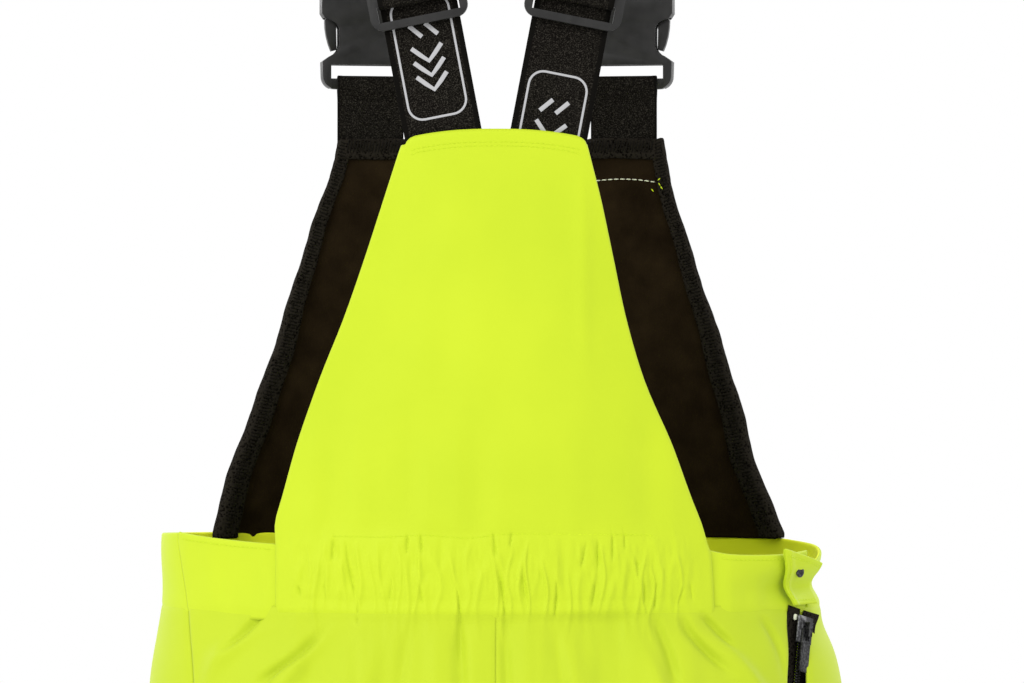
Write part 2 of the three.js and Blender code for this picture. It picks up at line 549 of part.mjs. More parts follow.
function buckle(front, side) {
  // Webbing tab on the bib, sewn round the socket's bar.
  const barHalf = 2.5;
  const tab = crosswise(loopShape(barHalf + 0.3, 3.8, 55.5, 1.4), TAB_WIDTH).rotateX(Math.PI);
  add(front, `bib_webbing_${side}`, "elastic", tab).position.z = 3.5;

  // Socket: webbing bar, slot, then a hollow body with a notch in each side.
  const outline = new THREE.Shape();
  const rightSide = (shape) => {
    shape.lineTo(24, 0).absarc(24, 8.5, 8.5, -Math.PI / 2, 0);
    shape.lineTo(SOCKET_HALF - 0.4, 18).lineTo(27, 22).quadraticCurveTo(21.6, 24, 21.6, 30);
    shape.lineTo(21.6, 40).quadraticCurveTo(22, 44, 31, 46.5).lineTo(SOCKET_HALF, 50).lineTo(SOCKET_HALF, SOCKET_HIGH);
  };
  outline.moveTo(0, 0);
  rightSide(outline);
  const mirrored = new THREE.Shape();
  mirrored.moveTo(0, 0);
  rightSide(mirrored);
  const points = outline.getPoints(4);
  const all = [...points, ...mirrored.getPoints(4).map((p) => new THREE.Vector2(-p.x, p.y)).reverse()];
  const socketBody = plate(new THREE.Shape(all.filter((p, i) => i === 0 || p.distanceTo(all[i - 1]) > 1e-3)), 13);
  const slot = box(54, 20, 9).translate(0, 0, 11.5);
  const cavity = box(62.6, 8, 60).translate(0, 0, SOCKET_HIGH - 22);
  const thinBar = [-1, 1].map((sign) => box(54, 5, 20).translate(0, sign * (barHalf + 2.5), 6));
  add(front, `buckle_socket_${side}`, "plastic", cut(socketBody, slot, cavity, ...thinBar));

  // Plug: crossbar and webbing slot outside, a middle tongue and a guide inside.
  const plugFrame = roundedRectangle(62, PLUG_HIGH, 6);
  const plugSlot = new THREE.Path();
  plugSlot.moveTo(-25.5, -3.5).lineTo(25.5, -3.5).lineTo(25.5, 5.5).lineTo(-25.5, 5.5);
  plugFrame.holes.push(plugSlot);
  const head = plate(plugFrame, 9).translate(0, 0, SOCKET_HIGH + GAP + PLUG_HIGH / 2);
  const barAt = SOCKET_HIGH + GAP + PLUG_HIGH / 2 + 5.5 + 4;
  const slimBar = [-1, 1].map((sign) => box(51, 4, 15).translate(0, sign * 4.5, barAt + 3));
  const guide = box(60, 6, 6).translate(0, 0, SOCKET_HIGH - 1.6);
  const tongue = box(8, 5, 42).translate(0, 0, SOCKET_HIGH - 20);
  add(front, `buckle_plug_${side}`, "plastic", join(cut(head, ...slimBar), guide, tongue));

  // The two squeeze arms, whose shoulders show in the socket's notches.
  for (const [place, sign] of [["outer", 1], ["inner", -1]]) {
    const arm = new THREE.Shape();
    arm.moveTo(24, 62.6).lineTo(29, 62.6).lineTo(28, 53).quadraticCurveTo(29, 48, 30.8, 45.5);
    arm.quadraticCurveTo(30.6, 34, 26.5, 25).lineTo(23, 26).lineTo(23.4, 46);
    const bent = sign > 0 ? arm : new THREE.Shape(arm.getPoints(4).map((p) => new THREE.Vector2(-p.x, p.y)));
    add(front, `buckle_arm_${place}_${side}`, "plastic", plate(bent, 6, 4));
  }

  // The brace's loop round the plug's bar.
  const loop = loopShape(barHalf + 0.4, 4.6, 40 + SOCKET_HIGH - barAt - GAP, 2 * WEBBING, 0);
  add(front, `brace_front_run_${side}`, "elastic", crosswise(loop, BRACE_WIDTH)).position.z = barAt;
}

export default root;
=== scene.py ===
import math

import bmesh
import bpy
import numpy as np
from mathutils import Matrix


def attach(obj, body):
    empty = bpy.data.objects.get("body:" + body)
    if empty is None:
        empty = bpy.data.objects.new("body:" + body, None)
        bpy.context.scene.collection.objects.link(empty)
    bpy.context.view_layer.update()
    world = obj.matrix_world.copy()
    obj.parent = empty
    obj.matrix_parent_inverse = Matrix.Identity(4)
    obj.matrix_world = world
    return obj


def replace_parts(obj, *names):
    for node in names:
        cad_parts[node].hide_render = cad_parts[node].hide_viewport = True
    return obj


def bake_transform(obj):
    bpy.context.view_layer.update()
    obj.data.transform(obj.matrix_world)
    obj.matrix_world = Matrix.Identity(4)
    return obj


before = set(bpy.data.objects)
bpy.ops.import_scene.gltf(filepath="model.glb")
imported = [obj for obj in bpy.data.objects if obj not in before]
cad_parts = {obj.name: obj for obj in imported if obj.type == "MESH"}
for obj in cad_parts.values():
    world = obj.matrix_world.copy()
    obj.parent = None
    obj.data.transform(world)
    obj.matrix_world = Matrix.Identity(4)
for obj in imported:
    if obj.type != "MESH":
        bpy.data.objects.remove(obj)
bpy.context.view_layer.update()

# ---------------------------------------------------------------- camera, floor and lights
# The camera stands level behind the wearer, 2.6 m from the back bib. The floor is one pale sheet
# under the hems. Soft panels on all four sides leave every face of the cloth evenly lit.
camera_data = bpy.data.cameras.new("camera")
camera_data.sensor_width = 36
camera_data.lens = 148.6
camera_data.clip_end = 60
camera = bpy.data.objects.new("camera", camera_data)
camera.location = (0.00984, -2.708, 1.185)
camera.rotation_euler = (math.pi / 2, 0, 0)
bpy.context.scene.collection.objects.link(camera)
bpy.context.scene.camera = camera
bpy.context.scene.view_settings.view_transform = "Standard"


def open_material(name, colour, roughness, specular=0.5):
    """A new material with its shader: (material, node adder, link maker, shader)."""
    made = bpy.data.materials.new(name)
    made.use_nodes = True
    tree = made.node_tree
    shader = tree.nodes["Principled BSDF"]
    shader.inputs["Base Color"].default_value = (*colour, 1)
    shader.inputs["Roughness"].default_value = roughness
    shader.inputs["Specular IOR Level"].default_value = specular
    return made, tree.nodes.new, tree.links.new, shader


floor_half = 7.0
floor_mesh = bpy.data.meshes.new("floor")
floor_corners = [(x * floor_half, y * floor_half, 0) for x, y in ((-1, -1), (1, -1), (1, 1), (-1, 1))]
floor_mesh.from_pydata(floor_corners, [], [(0, 1, 2, 3)])
floor = bpy.data.objects.new("floor", floor_mesh)
bpy.context.scene.collection.objects.link(floor)
floor_finish = open_material("floor_paper", (0.86, 0.86, 0.85), 0.9, 0.1)[0]
floor_mesh.materials.append(floor_finish)

world = bpy.data.worlds.new("studio")
world.use_nodes = True
world.node_tree.nodes["Background"].inputs["Color"].default_value = (1, 1, 1, 1)
world.node_tree.nodes["Background"].inputs["Strength"].default_value = 1.0
bpy.context.scene.world = world

for place, power in (((-2.2, -2.6, 2.9), 78), ((2.4, -2.2, 2.3), 20), ((-2.0, 2.6, 2.6), 38), ((2.3, 2.3, 2.6), 38)):
    light = bpy.data.lights.new("soft_panel", "AREA")
    light.energy = power
    light.size = 1.8
    panel = bpy.data.objects.new("soft_panel", light)
    panel.location = place
    away = np.array(place) - (0, 0, 1.0)
    panel.rotation_euler = (math.acos(away[2] / np.linalg.norm(away)), 0, math.atan2(away[1], away[0]) + math.pi / 2)
    bpy.context.scene.collection.objects.link(panel)

# ---------------------------------------------------------------- trouser panels
# Four panels of fluorescent polyester twill: a front and a back for each leg, joined at the inside
# leg, the side and the centre seams. The form is that of a wearer, with folds worked over it.
WAIST_SEAM = 1018.0
SEAT = 900.0
CROTCH = 785.0
ARCH = 60.0


def through(at, stations):
    """Smooth curve through (place, value) stations and level beyond them: on each span the cubic
    that has, at both ends, the slope of the line between the neighbouring stations."""
    place, value = np.array(stations, float).T
    before = np.maximum(np.arange(len(place)) - 1, 0)
    after = np.minimum(np.arange(len(place)) + 1, len(place) - 1)
    slope = (value[after] - value[before]) / (place[after] - place[before])
    i = np.clip(np.searchsorted(place, at, side="right") - 1, 0, len(place) - 2)
    span = place[i + 1] - place[i]
    t = np.clip((at - place[i]) / span, 0, 1)
    rise = value[i] * (1 - t) ** 2 * (1 + 2 * t) + value[i + 1] * t * t * (3 - 2 * t)
    return rise + span * (slope[i] * t * (1 - t) ** 2 - slope[i + 1] * t * t * (1 - t))


def fade(value, low, high):
    """0 below low, 1 above high, a smooth step between."""
    t = np.clip((value - low) / (high - low), 0, 1)
    return t * t * (3 - 2 * t)


def inside_leg(z):
    """Distance of the inside leg from the middle: a quarter ellipse under the crotch, then a
    straight line down to the hem."""
    below = np.maximum(CROTCH - z, 0)
    arch = np.maximum(1 - below / ARCH, 0)
    return 0.25 + 20 * np.sqrt(1 - arch * arch) + 30 * below / CROTCH


def sharp_outline(share, z):
    """Right half of the trousers at height z: share 0 is the centre back or the inside leg, 1 the
    widest point of the side, 2 the centre front. Each quarter is one cubic curve, which turns from
    level to fore-and-aft as the seat divides into legs along a quarter ellipse."""
    share, z = np.broadcast_arrays(np.asarray(share, float), np.asarray(z, float))
    back = share <= 1
    t = np.where(back, share, 2 - share)
    down = np.clip((SEAT - z) / (SEAT - CROTCH), 0, 1)
    seat = np.sqrt(1 - down * down)
    rounding = np.sqrt(1 - seat)
    turn = (1 - seat) * math.pi / 2
    seat_back = through(z, [(900, 123.75), (968, 118), (1018, 110), (1060, 106), (1330, 104)])
    seat_front = through(z, [(900, 123.75), (968, 120), (1018, 114), (1060, 110), (1330, 106)])
    leg_back = through(z, [(0, 80), (480, 90), (700, 112), (860, 122)])
    leg_front = through(z, [(0, 80), (480, 92), (700, 108), (860, 112)])
    x0 = inside_leg(z) - 0.25
    x1 = through(z, [(0, 203), (250, 200), (480, 208), (700, 231), (860, 236), (968, 221), (1018, 211), (1060, 211)])
    depth = 0.25 + np.where(back, seat_back, seat_front) * seat
    leg = np.where(back, leg_back, leg_front) * 4 / 3
    start = (0.5523 * (x1 - x0)) * (1 - rounding) + leg * rounding
    end = 0.5523 * depth * (1 - rounding) + leg * rounding
    x = (1 - t) ** 3 * x0 + 3 * (1 - t) ** 2 * t * (x0 + np.cos(turn) * start) + (3 * (1 - t) + t) * t * t * x1
    y = (1 - t) ** 3 * depth + 3 * (1 - t) ** 2 * t * (depth + np.sin(turn) * start) + 3 * (1 - t) * t * t * end
    return np.stack([x, np.where(back, -y, y), z], -1)


def half_outline(share, z):
    """The half outline, eased round the crotch: there each point is the weighted mean of seven
    outlines up to 24 mm above and below it."""
    share, z = np.broadcast_arrays(np.asarray(share, float), np.asarray(z, float))
    reach = 24 * fade(z, 700, 765) * (1 - fade(z, 815, 880))
    weights = np.array([0.06, 0.12, 0.2, 0.24, 0.2, 0.12, 0.06])
    eased = sum(w * sharp_outline(share, z + reach * k / 3) for w, k in zip(weights, range(-3, 4)))
    eased[..., 2] = z
    return eased


def side_seam(z):
    """Share of the half outline at which the side seam runs."""
    return through(z, [(0, 0.95), (480, 0.86), (700, 0.66), (865, 0.56), (975, 0.665), (1018, 0.735), (1060, 0.78)])


def grid_faces(rows, columns, wrap=False):
    """Quads of a grid of vertices that runs row by row. wrap joins the last column to the first."""
    row, column = np.meshgrid(np.arange(rows - 1), np.arange(columns - (not wrap)), indexing="ij")
    right = (column + 1) % columns
    corners = [row * columns + column, (row + 1) * columns + column, (row + 1) * columns + right, row * columns + right]
    return np.stack(corners, -1).reshape(-1, 4)


def mesh_piece(name, points, faces, uv=None, finish=None, caps=()):
    """A smooth mesh object from points in millimetres, quads, a UV in metres at each point, and
    caps: the many-sided faces that close its ends."""
    mesh = bpy.data.meshes.new(name)
    mesh.vertices.add(len(points))
    mesh.vertices.foreach_set("co", (np.asarray(points, np.float64) * 0.001).astype(np.float32).ravel())
    corners = np.concatenate([faces.ravel(), *(np.asarray(cap) for cap in caps)]).astype(np.int32)
    sizes = np.concatenate([np.full(len(faces), 4), [len(cap) for cap in caps]]).astype(np.int32)
    mesh.loops.add(len(corners))
    mesh.loops.foreach_set("vertex_index", corners)
    mesh.polygons.add(len(sizes))
    mesh.polygons.foreach_set("loop_start", np.concatenate([[0], np.cumsum(sizes)[:-1]]).astype(np.int32))
    mesh.polygons.foreach_set("use_smooth", sizes == 4)
    if uv is not None:
        layer = mesh.uv_layers.new(name="cloth")
        layer.data.foreach_set("uv", np.asarray(uv, np.float32)[corners].ravel())
    mesh.update(calc_edges=True)
    if finish:
        mesh.materials.append(finish)
    made = bpy.data.objects.new(name, mesh)
    bpy.context.scene.collection.objects.link(made)
    return made


def grid_normals(grid, centre):
    """Unit normals of a grid of points, on the side away from the upright line through centre."""
    normal = np.cross(np.gradient(grid, axis=1), np.gradient(grid, axis=0))
    normal /= np.linalg.norm(normal, axis=2, keepdims=True) + 1e-12
    away = grid - np.array([centre[0], centre[1], 0])
    return normal * np.sign((normal[..., :2] * away[..., :2]).sum())


def cloth(name, grid, centre, finish, thickness, relief=0.0, body="garment", inset=0.0):
    """A ply of cloth: a grid of points raised by relief along its normals, given its thickness
    inwards. Its UV is the distance in metres along the rows from their middle, and down the grid."""
    normal = grid_normals(grid, centre)
    surface = grid + normal * np.broadcast_to(np.asarray(relief - inset, float), grid.shape[:2])[..., None]
    step = np.linalg.norm(np.diff(grid, axis=1), axis=2)
    across = np.concatenate([np.zeros((len(grid), 1)), np.cumsum(step, 1)], 1)
    across -= across[:, -1:] / 2
    fall = np.linalg.norm(np.diff(grid[:, grid.shape[1] // 2], axis=0), axis=1)
    down = np.broadcast_to(np.concatenate([[0], np.cumsum(fall)])[:, None], across.shape)
    uv = np.stack([across, down], -1).reshape(-1, 2) * 0.001
    faces = grid_faces(*grid.shape[:2])
    first = np.cross(surface[1, 0] - surface[0, 0], surface[0, 1] - surface[0, 0])
    if (first * normal[0, 0]).sum() < 0:
        faces = faces[:, ::-1]
    made = mesh_piece(name, surface.reshape(-1, 3), faces, uv, finish)
    if thickness:
        wall = made.modifiers.new("ply", "SOLIDIFY")
        wall.thickness = thickness * 0.001
        wall.offset = -1
    if body:
        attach(made, body)
    return made


def rumple(x, y, size, seed):
    """Soft random bumps from -1 to 1, about size apart: a lattice of random heights, joined by
    smooth steps in both directions."""
    heights = np.random.default_rng(seed).uniform(-1, 1, (64, 64))
    gx, gy = x / size + 31.7, y / size + 17.3
    ix, iy = np.floor(gx).astype(int), np.floor(gy).astype(int)
    fx, fy = gx - ix, gy - iy
    fx, fy = fx * fx * (3 - 2 * fx), fy * fy * (3 - 2 * fy)
    near = heights[ix % 64, iy % 64] * (1 - fx) + heights[(ix + 1) % 64, iy % 64] * fx
    far = heights[ix % 64, (iy + 1) % 64] * (1 - fx) + heights[(ix + 1) % 64, (iy + 1) % 64] * fx
    return near * (1 - fy) + far * fy


def fold(x, z, line, width, height, sharp=2.2):
    """A ridge along a line of (z, x) stations: its height falls off as a bell to one side and
    sharp times faster to the other, and fades at both ends of the line."""
    ends = [line[0][0], line[-1][0]]
    off = (x - through(z, line)) / width
    off = np.where(off > 0, off * sharp, off)
    reach = (ends[1] - ends[0]) * 0.35
    return height * np.exp(-off * off) * fade(z, ends[0], ends[0] + reach) * (1 - fade(z, ends[1] - reach, ends[1]))


def crease(x, z, line, depth, width=0.8):
    """A pinched valley along a line of (z, x) stations: a cusp that fades at both ends."""
    off = np.abs(x - through(z, line)) / width
    ends = [line[0][0], line[-1][0]]
    reach = (ends[1] - ends[0]) * 0.25
    return -depth * np.exp(-off) * fade(z, ends[0], ends[0] + reach) * (1 - fade(z, ends[1] - reach, ends[1]))


def waist_relief(x, z):
    """Outward relief of the cloth round the gathered back waist, in millimetres."""
    middle = 1 - fade(np.abs(x + 3), 112, 134)
    rows = np.random.default_rng(7)
    height = np.zeros(np.broadcast(x, z).shape)
    places = np.cumsum(rows.uniform(3.5, 9.5, 44)) - 140
    for at, width, size, top, bottom in zip(
        places, rows.uniform(0.8, 2.2, 44), rows.uniform(0.4, 1.3, 44),
        rows.uniform(1040, 1063, 44), rows.uniform(1006, 1022, 44),
    ):
        wander = at + 1.6 * np.sin(z / rows.uniform(5, 11) + at) + 0.05 * (z - 1040) * np.sin(at)
        bell = np.exp(-(((x - wander) / width) ** 2))
        height = height + size * bell * fade(z, bottom - 14, bottom + 12) * (1 - fade(z, top - 8, top + 3))
    height = height * middle
    for line, depth in (
        ([(1048, -101.2), (1064, -100.3)], 1.3), ([(1024, -85.6), (1042, -90.2), (1064, -93.1)], 1.3),
        ([(1053, -54.8), (1066, -54.6)], 1.3), ([(1053, -45.2), (1067, -46.8)], 1.2), ([(1052, 0), (1068, -1.8)], 1.3),
        ([(1058, 8.6), (1068, 9.8)], 1.2), ([(1027, -121.3), (1034, -122.4)], 1.2), ([(1008, -86), (1026, -85.2)], 1.3),
        ([(985, -22), (1023, -22.8), (1039, -25)], 1.7), ([(1000, 6.2), (1023, 4.9), (1045, 1.8)], 1.5),
        ([(1010, 35.7), (1030, 37.3), (1040, 36.6)], 1.6), ([(1020, 59.1), (1038, 61.3)], 1.2), ([(1044, 51.7), (1062, 56)], 1.1),
        ([(1042, 62.8), (1064, 62.6)], 1.3), ([(1048, 71.6), (1067, 72)], 1.4), ([(1056, 79.4), (1066, 79.4)], 1.2),
        ([(1037, 87.4), (1051, 86.8)], 1.2), ([(1020, 91.6), (1037, 91)], 1.0), ([(1018, 97.6), (1037, 99)], 1.3),
        ([(1022, -105), (1036, -106)], 0.9), ([(1024, -66), (1040, -64)], 0.9), ([(1022, -45), (1036, -47)], 0.9),
        ([(1026, 18), (1042, 16)], 0.9), ([(1020, 112), (1034, 116)], 0.9), ([(1024, 122), (1036, 120)], 0.8),
    ):
        height = height + crease(x, z, line, 1.25 * depth)
    puff = np.sin(np.clip((z - 1026) / (1066 - 1026), 0, 1) * math.pi) ** 0.6
    height = height + middle * (1.8 * puff + 0.8 * puff * rumple(x, z * 0.35, 5, 3) + 0.35 * puff * rumple(x, z * 0.3, 2.3, 4))
    above = fade(z, 1060, 1075) * (1 - fade(z, 1080, 1180))
    height = height + middle * above * 1.4 * rumple(x, z * 0.12, 15, 11)
    below = (1 - fade(z, 1010, 1024)) * fade(z, 880, 1000)
    height = height + middle * below * (2.2 * rumple(x, z * 0.1, 17, 5) + 1.0 * rumple(x, z * 0.12, 8, 9))
    return height


def hip_relief(x, z):
    """Outward relief of the hips under the waistband: long soft drag folds from the gathers, which
    die out at the side seams."""
    height = 3.0 * rumple(x, z, 120, 21) + 1.0 * rumple(x, z, 45, 22)
    for line, width, size in (
        ([(930, -196), (968, -186), (1000, -158), (1012, -132)], 12, 3.0),
        ([(900, -160), (960, -140), (1000, -112), (1016, -96)], 10, 2.6),
        ([(880, -96), (960, -84), (1012, -72)], 12, 2.2),
        ([(880, 66), (960, 54), (1016, 44)], 11, 2.0),
        ([(880, 126), (960, 104), (1000, 88), (1016, 82)], 10, 2.6),
        ([(910, 184), (960, 166), (996, 140), (1012, 118)], 9, 2.6),
        ([(975, 148), (985, 138), (1005, 120), (1020, 114)], 4.5, -2.6),
        ([(992, 150), (1000, 142.5), (1015, 129.5), (1020, 126)], 3.6, -2.0),
        ([(960, 183), (972, 182), (998, 176), (1018, 164)], 3.6, -2.2),
        ([(965, 112), (988, 108), (1012, 100), (1022, 98)], 4.0, -2.0),
        ([(965, -148), (977, -141), (993, -121), (1012, -104)], 4.5, -2.6),
        ([(988, -172), (998, -162), (1012, -149), (1020, -140)], 3.6, -2.2),
        ([(940, -20), (980, -21.5), (1024, -23)], 5.5, -2.2),
        ([(940, 8), (980, 6.5), (1020, 5)], 4.5, -1.6),
        ([(950, 44), (985, 40), (1016, 36)], 5.0, -1.4),
        ([(940, -64), (985, -58), (1016, -54)], 5.0, -1.3),
    ):
        height = height + fold(x, z, line, width, size, 1.5)
    seam_x = half_outline(side_seam(z), np.minimum(z, 1020))[..., 0]
    loose = fade(seam_x - np.abs(x), 1, 24)
    return 1.7 * height * loose * (1 - fade(z, 1012, 1020)) + 3.2 * fade(-x, 150, 206) * fade(z, 940, 1010)


def side_dent(x, z):
    """Relief that the waist tab's pull gives to the right side: it draws the cloth in."""
    return -fade(x, 140, 196) * (8.5 * np.exp(-(((z - 1031) / 9) ** 2)) + 4.5 * np.exp(-(((z - 1010) / 16) ** 2)))


def band_waves(x, z):
    """Relief of the doubled cloth at the waist: slight waves and puckers along its seams."""
    waves = 0.9 * rumple(x, z + 0 * x, 34, 95) + 0.45 * rumple(x, z * 0.4 + 0 * x, 9, 96)
    return waves * fade(np.abs(x), 126, 140)


def leg_relief(share, z, side):
    """Outward relief of a leg: slack across the back of the knee, drag lines at the crotch, and
    the cloth's weight stacking above the ankle."""
    around = share * 95
    seed = 40 + side
    soft = 3.2 * rumple(around, z, 95, seed) + 1.3 * rumple(around, z * 1.4, 38, seed + 2)
    knee = np.exp(-(((z - 500) / 90) ** 2))
    ankle = 1 - fade(z, 40, 240)
    wave = z + 16 * rumple(around, z * 0.4, 60, seed + 4)
    ripple = (2.4 * knee + 3.4 * ankle) * np.sin(wave / 9.5) * (0.55 + 0.45 * rumple(around, z, 50, seed + 6))
    crotch = np.exp(-(((z - 760) / 70) ** 2))
    drag = 2.6 * crotch * np.sin((z + share * 90) / 11.0) * (0.5 + 0.5 * rumple(around, z, 40, seed + 8))
    inseam = fade(share, 0, 0.15) * (1 - fade(share, 1.85, 2))
    return (soft + ripple + drag) * fade(z, 4, 30) * (1 - fade(z, 860, 960)) * (0.25 + 0.75 * inseam)


def hi_vis_cloth(name, strength=1.0):
    """Fluorescent yellow twill: diagonal yarns in relief, faint slubs, and tone that drifts. The second argument scales
    the red and green of the tone; below 1 it paints shade over the whole cloth.
    """
    made, node, link, shader = open_material(name, (0.45, 0.575, 0.0125), 0.62, 0.2)
    shader.inputs["Sheen Weight"].default_value = 0.08
    shader.inputs["Sheen Roughness"].default_value = 0.5
    place = node("ShaderNodeTexCoord")
    split = node("ShaderNodeSeparateXYZ")
    link(place.outputs["UV"], split.inputs[0])
    diagonal = node("ShaderNodeMath")
    diagonal.operation = "ADD"
    link(split.outputs["X"], diagonal.inputs[0])
    link(split.outputs["Y"], diagonal.inputs[1])
    pitch = node("ShaderNodeMath")
    pitch.operation = "MULTIPLY"
    pitch.inputs[1].default_value = 2 * math.pi / 0.0009
    link(diagonal.outputs[0], pitch.inputs[0])
    twill = node("ShaderNodeMath")
    twill.operation = "SINE"
    link(pitch.outputs[0], twill.inputs[0])
    slub = node("ShaderNodeTexNoise")
    slub.inputs["Scale"].default_value = 900
    link(place.outputs["Object"], slub.inputs["Vector"])
    grain = node("ShaderNodeMath")
    grain.operation = "MULTIPLY_ADD"
    grain.inputs[1].default_value = 0.35
    link(twill.outputs[0], grain.inputs[0])
    link(slub.outputs["Fac"], grain.inputs[2])
    bump = node("ShaderNodeBump")
    bump.inputs["Strength"].default_value = 0.16
    bump.inputs["Distance"].default_value = 0.0003
    link(grain.outputs[0], bump.inputs["Height"])
    link(bump.outputs[0], shader.inputs["Normal"])
    drift = node("ShaderNodeTexNoise")
    drift.inputs["Scale"].default_value = 9
    drift.inputs["Detail"].default_value = 5
    link(place.outputs["Object"], drift.inputs["Vector"])
    tone = node("ShaderNodeValToRGB")
    tone.color_ramp.elements[0].position = 0.3
    tone.color_ramp.elements[0].color = (0.432 * strength, 0.555 * strength, 0.0118, 1)
    tone.color_ramp.elements[1].position = 0.7
    tone.color_ramp.elements[1].color = (0.476 * strength, 0.594 * strength, 0.0136, 1)
    link(drift.outputs["Fac"], tone.inputs["Fac"])
    link(tone.outputs["Color"], shader.inputs["Base Color"])
    return made


yellow = hi_vis_cloth("fluorescent_twill")
# The trouser panels get a copy of the twill with its tone darkened to 93 per cent: painted shade, which draws them
# darker than the bib.
trouser_painted_shade_twill = hi_vis_cloth("fluorescent_twill_trousers_painted_shade", 0.93)
leg_heights = np.concatenate([np.linspace(1021, 960, 42), np.linspace(957, 700, 62), np.linspace(695, 2, 126)])
ZIP_HALF = 4.4


def panel_grid(side, from_share, to_share, columns):
    """Points, shares and heights of a panel between two shares that vary with height. Above the
    seam allowance the top edge stays in its seam; side is 1 for the right leg, -1 for the left."""
    z = leg_heights[:, None] * np.ones((1, columns))
    t = np.linspace(0, 1, columns)[None, :]
    share = from_share(z) * (1 - t) + to_share(z) * t
    return half_outline(share, z) * [side, 1, 1], share, z


def seam_roll(columns, depth=0.7, width=1.6):
    """Dip of a panel's two long edges into their seams."""
    edge = np.minimum(np.arange(columns), np.arange(columns)[::-1]) / width
    return -depth * np.exp(-edge * edge)[None, :]


zip_gap = lambda z: fade(z, 857, 866) * ZIP_HALF / 118
trousers = {}
for side_name, side in (("left", -1), ("right", 1)):
    gap = zip_gap if side > 0 else (lambda z: 0 * z)
    for part, edges, columns in (
        ("back", (lambda z: 0 * z, lambda z: side_seam(z) - 0.0005 - gap(z)), 196),
        ("front", (lambda z: side_seam(z) + 0.0005 + gap(z), lambda z: 0 * z + 2), 150),
    ):
        grid, share, z = panel_grid(side, *edges, columns)
        x = grid[..., 0]
        relief = leg_relief(share, z, side) + seam_roll(columns) - 1.0 * fade(z, 1013, 1021)
        if part == "back":
            relief = relief + (waist_relief(x, z) + hip_relief(x, z)) * fade(z, 830, 930) + side_dent(x, z)
            relief = relief + band_waves(x, z) * fade(z, 1000, 1014)
        else:
            loose = fade((share - side_seam(z)) * 118, 1, 24) * fade(z, 830, 930) * (1 - fade(z, 990, 1012))
            relief = relief + 2.2 * loose * rumple(x, z, 70, 31) + side_dent(x, z)
            relief = relief + band_waves(x, z) * fade(z, 1000, 1014) + 3.2 * fade(-x, 150, 206) * fade(z, 940, 1010)
        piece = cloth(f"trouser_{part}_panel_{side_name}", grid, (side * 120, 0), trouser_painted_shade_twill, 1.2, relief)
        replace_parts(piece, f"trouser_{part}_{side_name}")
        trousers[part, side_name] = piece

# ---------------------------------------------------------------- saw pads
# Layers of loose cut-resistant fibre in a quilted cover, hung inside the front of each leg from
# above the knee's crease to the ankle. The quilting lines hold the fibre in place.
def closed_shell(name, outer, inner, finish, body="garment"):
    """A closed form between two grids that share their rim: the outer grid, the inner grid turned
    round, and a strip that joins their edges."""
    rows, columns = outer.shape[:2]
    faces = grid_faces(rows, columns)
    index = np.arange(rows * columns).reshape(rows, columns)
    rim = np.concatenate([index[0], index[1:, -1], index[-1, -2::-1], index[-2:0:-1, 0]])
    strip = np.stack([rim, np.roll(rim, -1), np.roll(rim, -1) + rows * columns, rim + rows * columns], -1)
    faces = np.concatenate([faces, faces[:, ::-1] + rows * columns, strip])
    points = np.concatenate([outer.reshape(-1, 3), inner.reshape(-1, 3)])
    made = mesh_piece(name, points, outward(points, faces), None, finish)
    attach(made, body)
    return made


def outward(points, faces):
    """The faces turned so that the volume they enclose, the sum of corner . (next x last), is
    positive."""
    a, b, c, d = (points[faces[:, k]] for k in range(4))
    volume = (a * np.cross(b, c)).sum() + (a * np.cross(c, d)).sum()
    return faces if volume > 0 else faces[:, ::-1]


def quilted_cover():
    """Grey-green polyester pad cover: a fine plain weave with a slightly mottled tone."""
    made, node, link, shader = open_material("pad_cover", (0.16, 0.17, 0.13), 0.8, 0.2)
    place = node("ShaderNodeTexCoord")
    weave = node("ShaderNodeTexNoise")
    weave.inputs["Scale"].default_value = 700
    link(place.outputs["Object"], weave.inputs["Vector"])
    bump = node("ShaderNodeBump")
    bump.inputs["Strength"].default_value = 0.3
    bump.inputs["Distance"].default_value = 0.0004
    link(weave.outputs["Fac"], bump.inputs["Height"])
    link(bump.outputs[0], shader.inputs["Normal"])
    return made


pad_cover = quilted_cover()
for side_name, side in (("left", -1), ("right", 1)):
    rows, columns = 150, 60
    z = np.linspace(716, 122, rows)[:, None] * np.ones((1, columns))
    share = np.linspace(1.04, 1.84, columns)[None, :] * np.ones((rows, 1))
    form = half_outline(share, z) * [side, 1, 1]
    normal = grid_normals(form, (side * 120, 0))
    middle = form + normal * (leg_relief(share, z, side) - 7.4)[..., None]
    edge = np.minimum(np.minimum(z - 122, 716 - z) / 9, np.minimum(share - 1.04, 1.84 - share) / 0.06)
    crown = np.sqrt(np.clip(edge, 0, 1) * (2 - np.clip(edge, 0, 1)))
    channel = 0.35 + 0.65 * np.abs(np.sin((share - 1.04) / 0.8 * 4 * math.pi)) ** 0.5
    half = (0.25 + 2.1 * crown * channel)[..., None]
    pad = closed_shell(f"fibre_pad_{side_name}", middle + normal * half, middle - normal * half, pad_cover)
    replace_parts(pad, f"saw_pad_{side_name}")

# ---------------------------------------------------------------- hems, patches and bands of the legs
# Turned-up hems, black abrasion cloth at the ankles and knees, and two silver bands of glass-bead
# tape round each leg, all lock-stitched through the twill.
def leg_ring(side, low, high, rows, from_share=0.004, to_share=1.996, columns=300):
    """Grid, shares and heights of a piece that lies round a leg between two heights."""
    z = np.linspace(high, low, rows)[:, None] * np.ones((1, columns))
    share = np.linspace(from_share, to_share, columns)[None, :] * np.ones((rows, 1))
    return half_outline(share, z) * [side, 1, 1], share, z


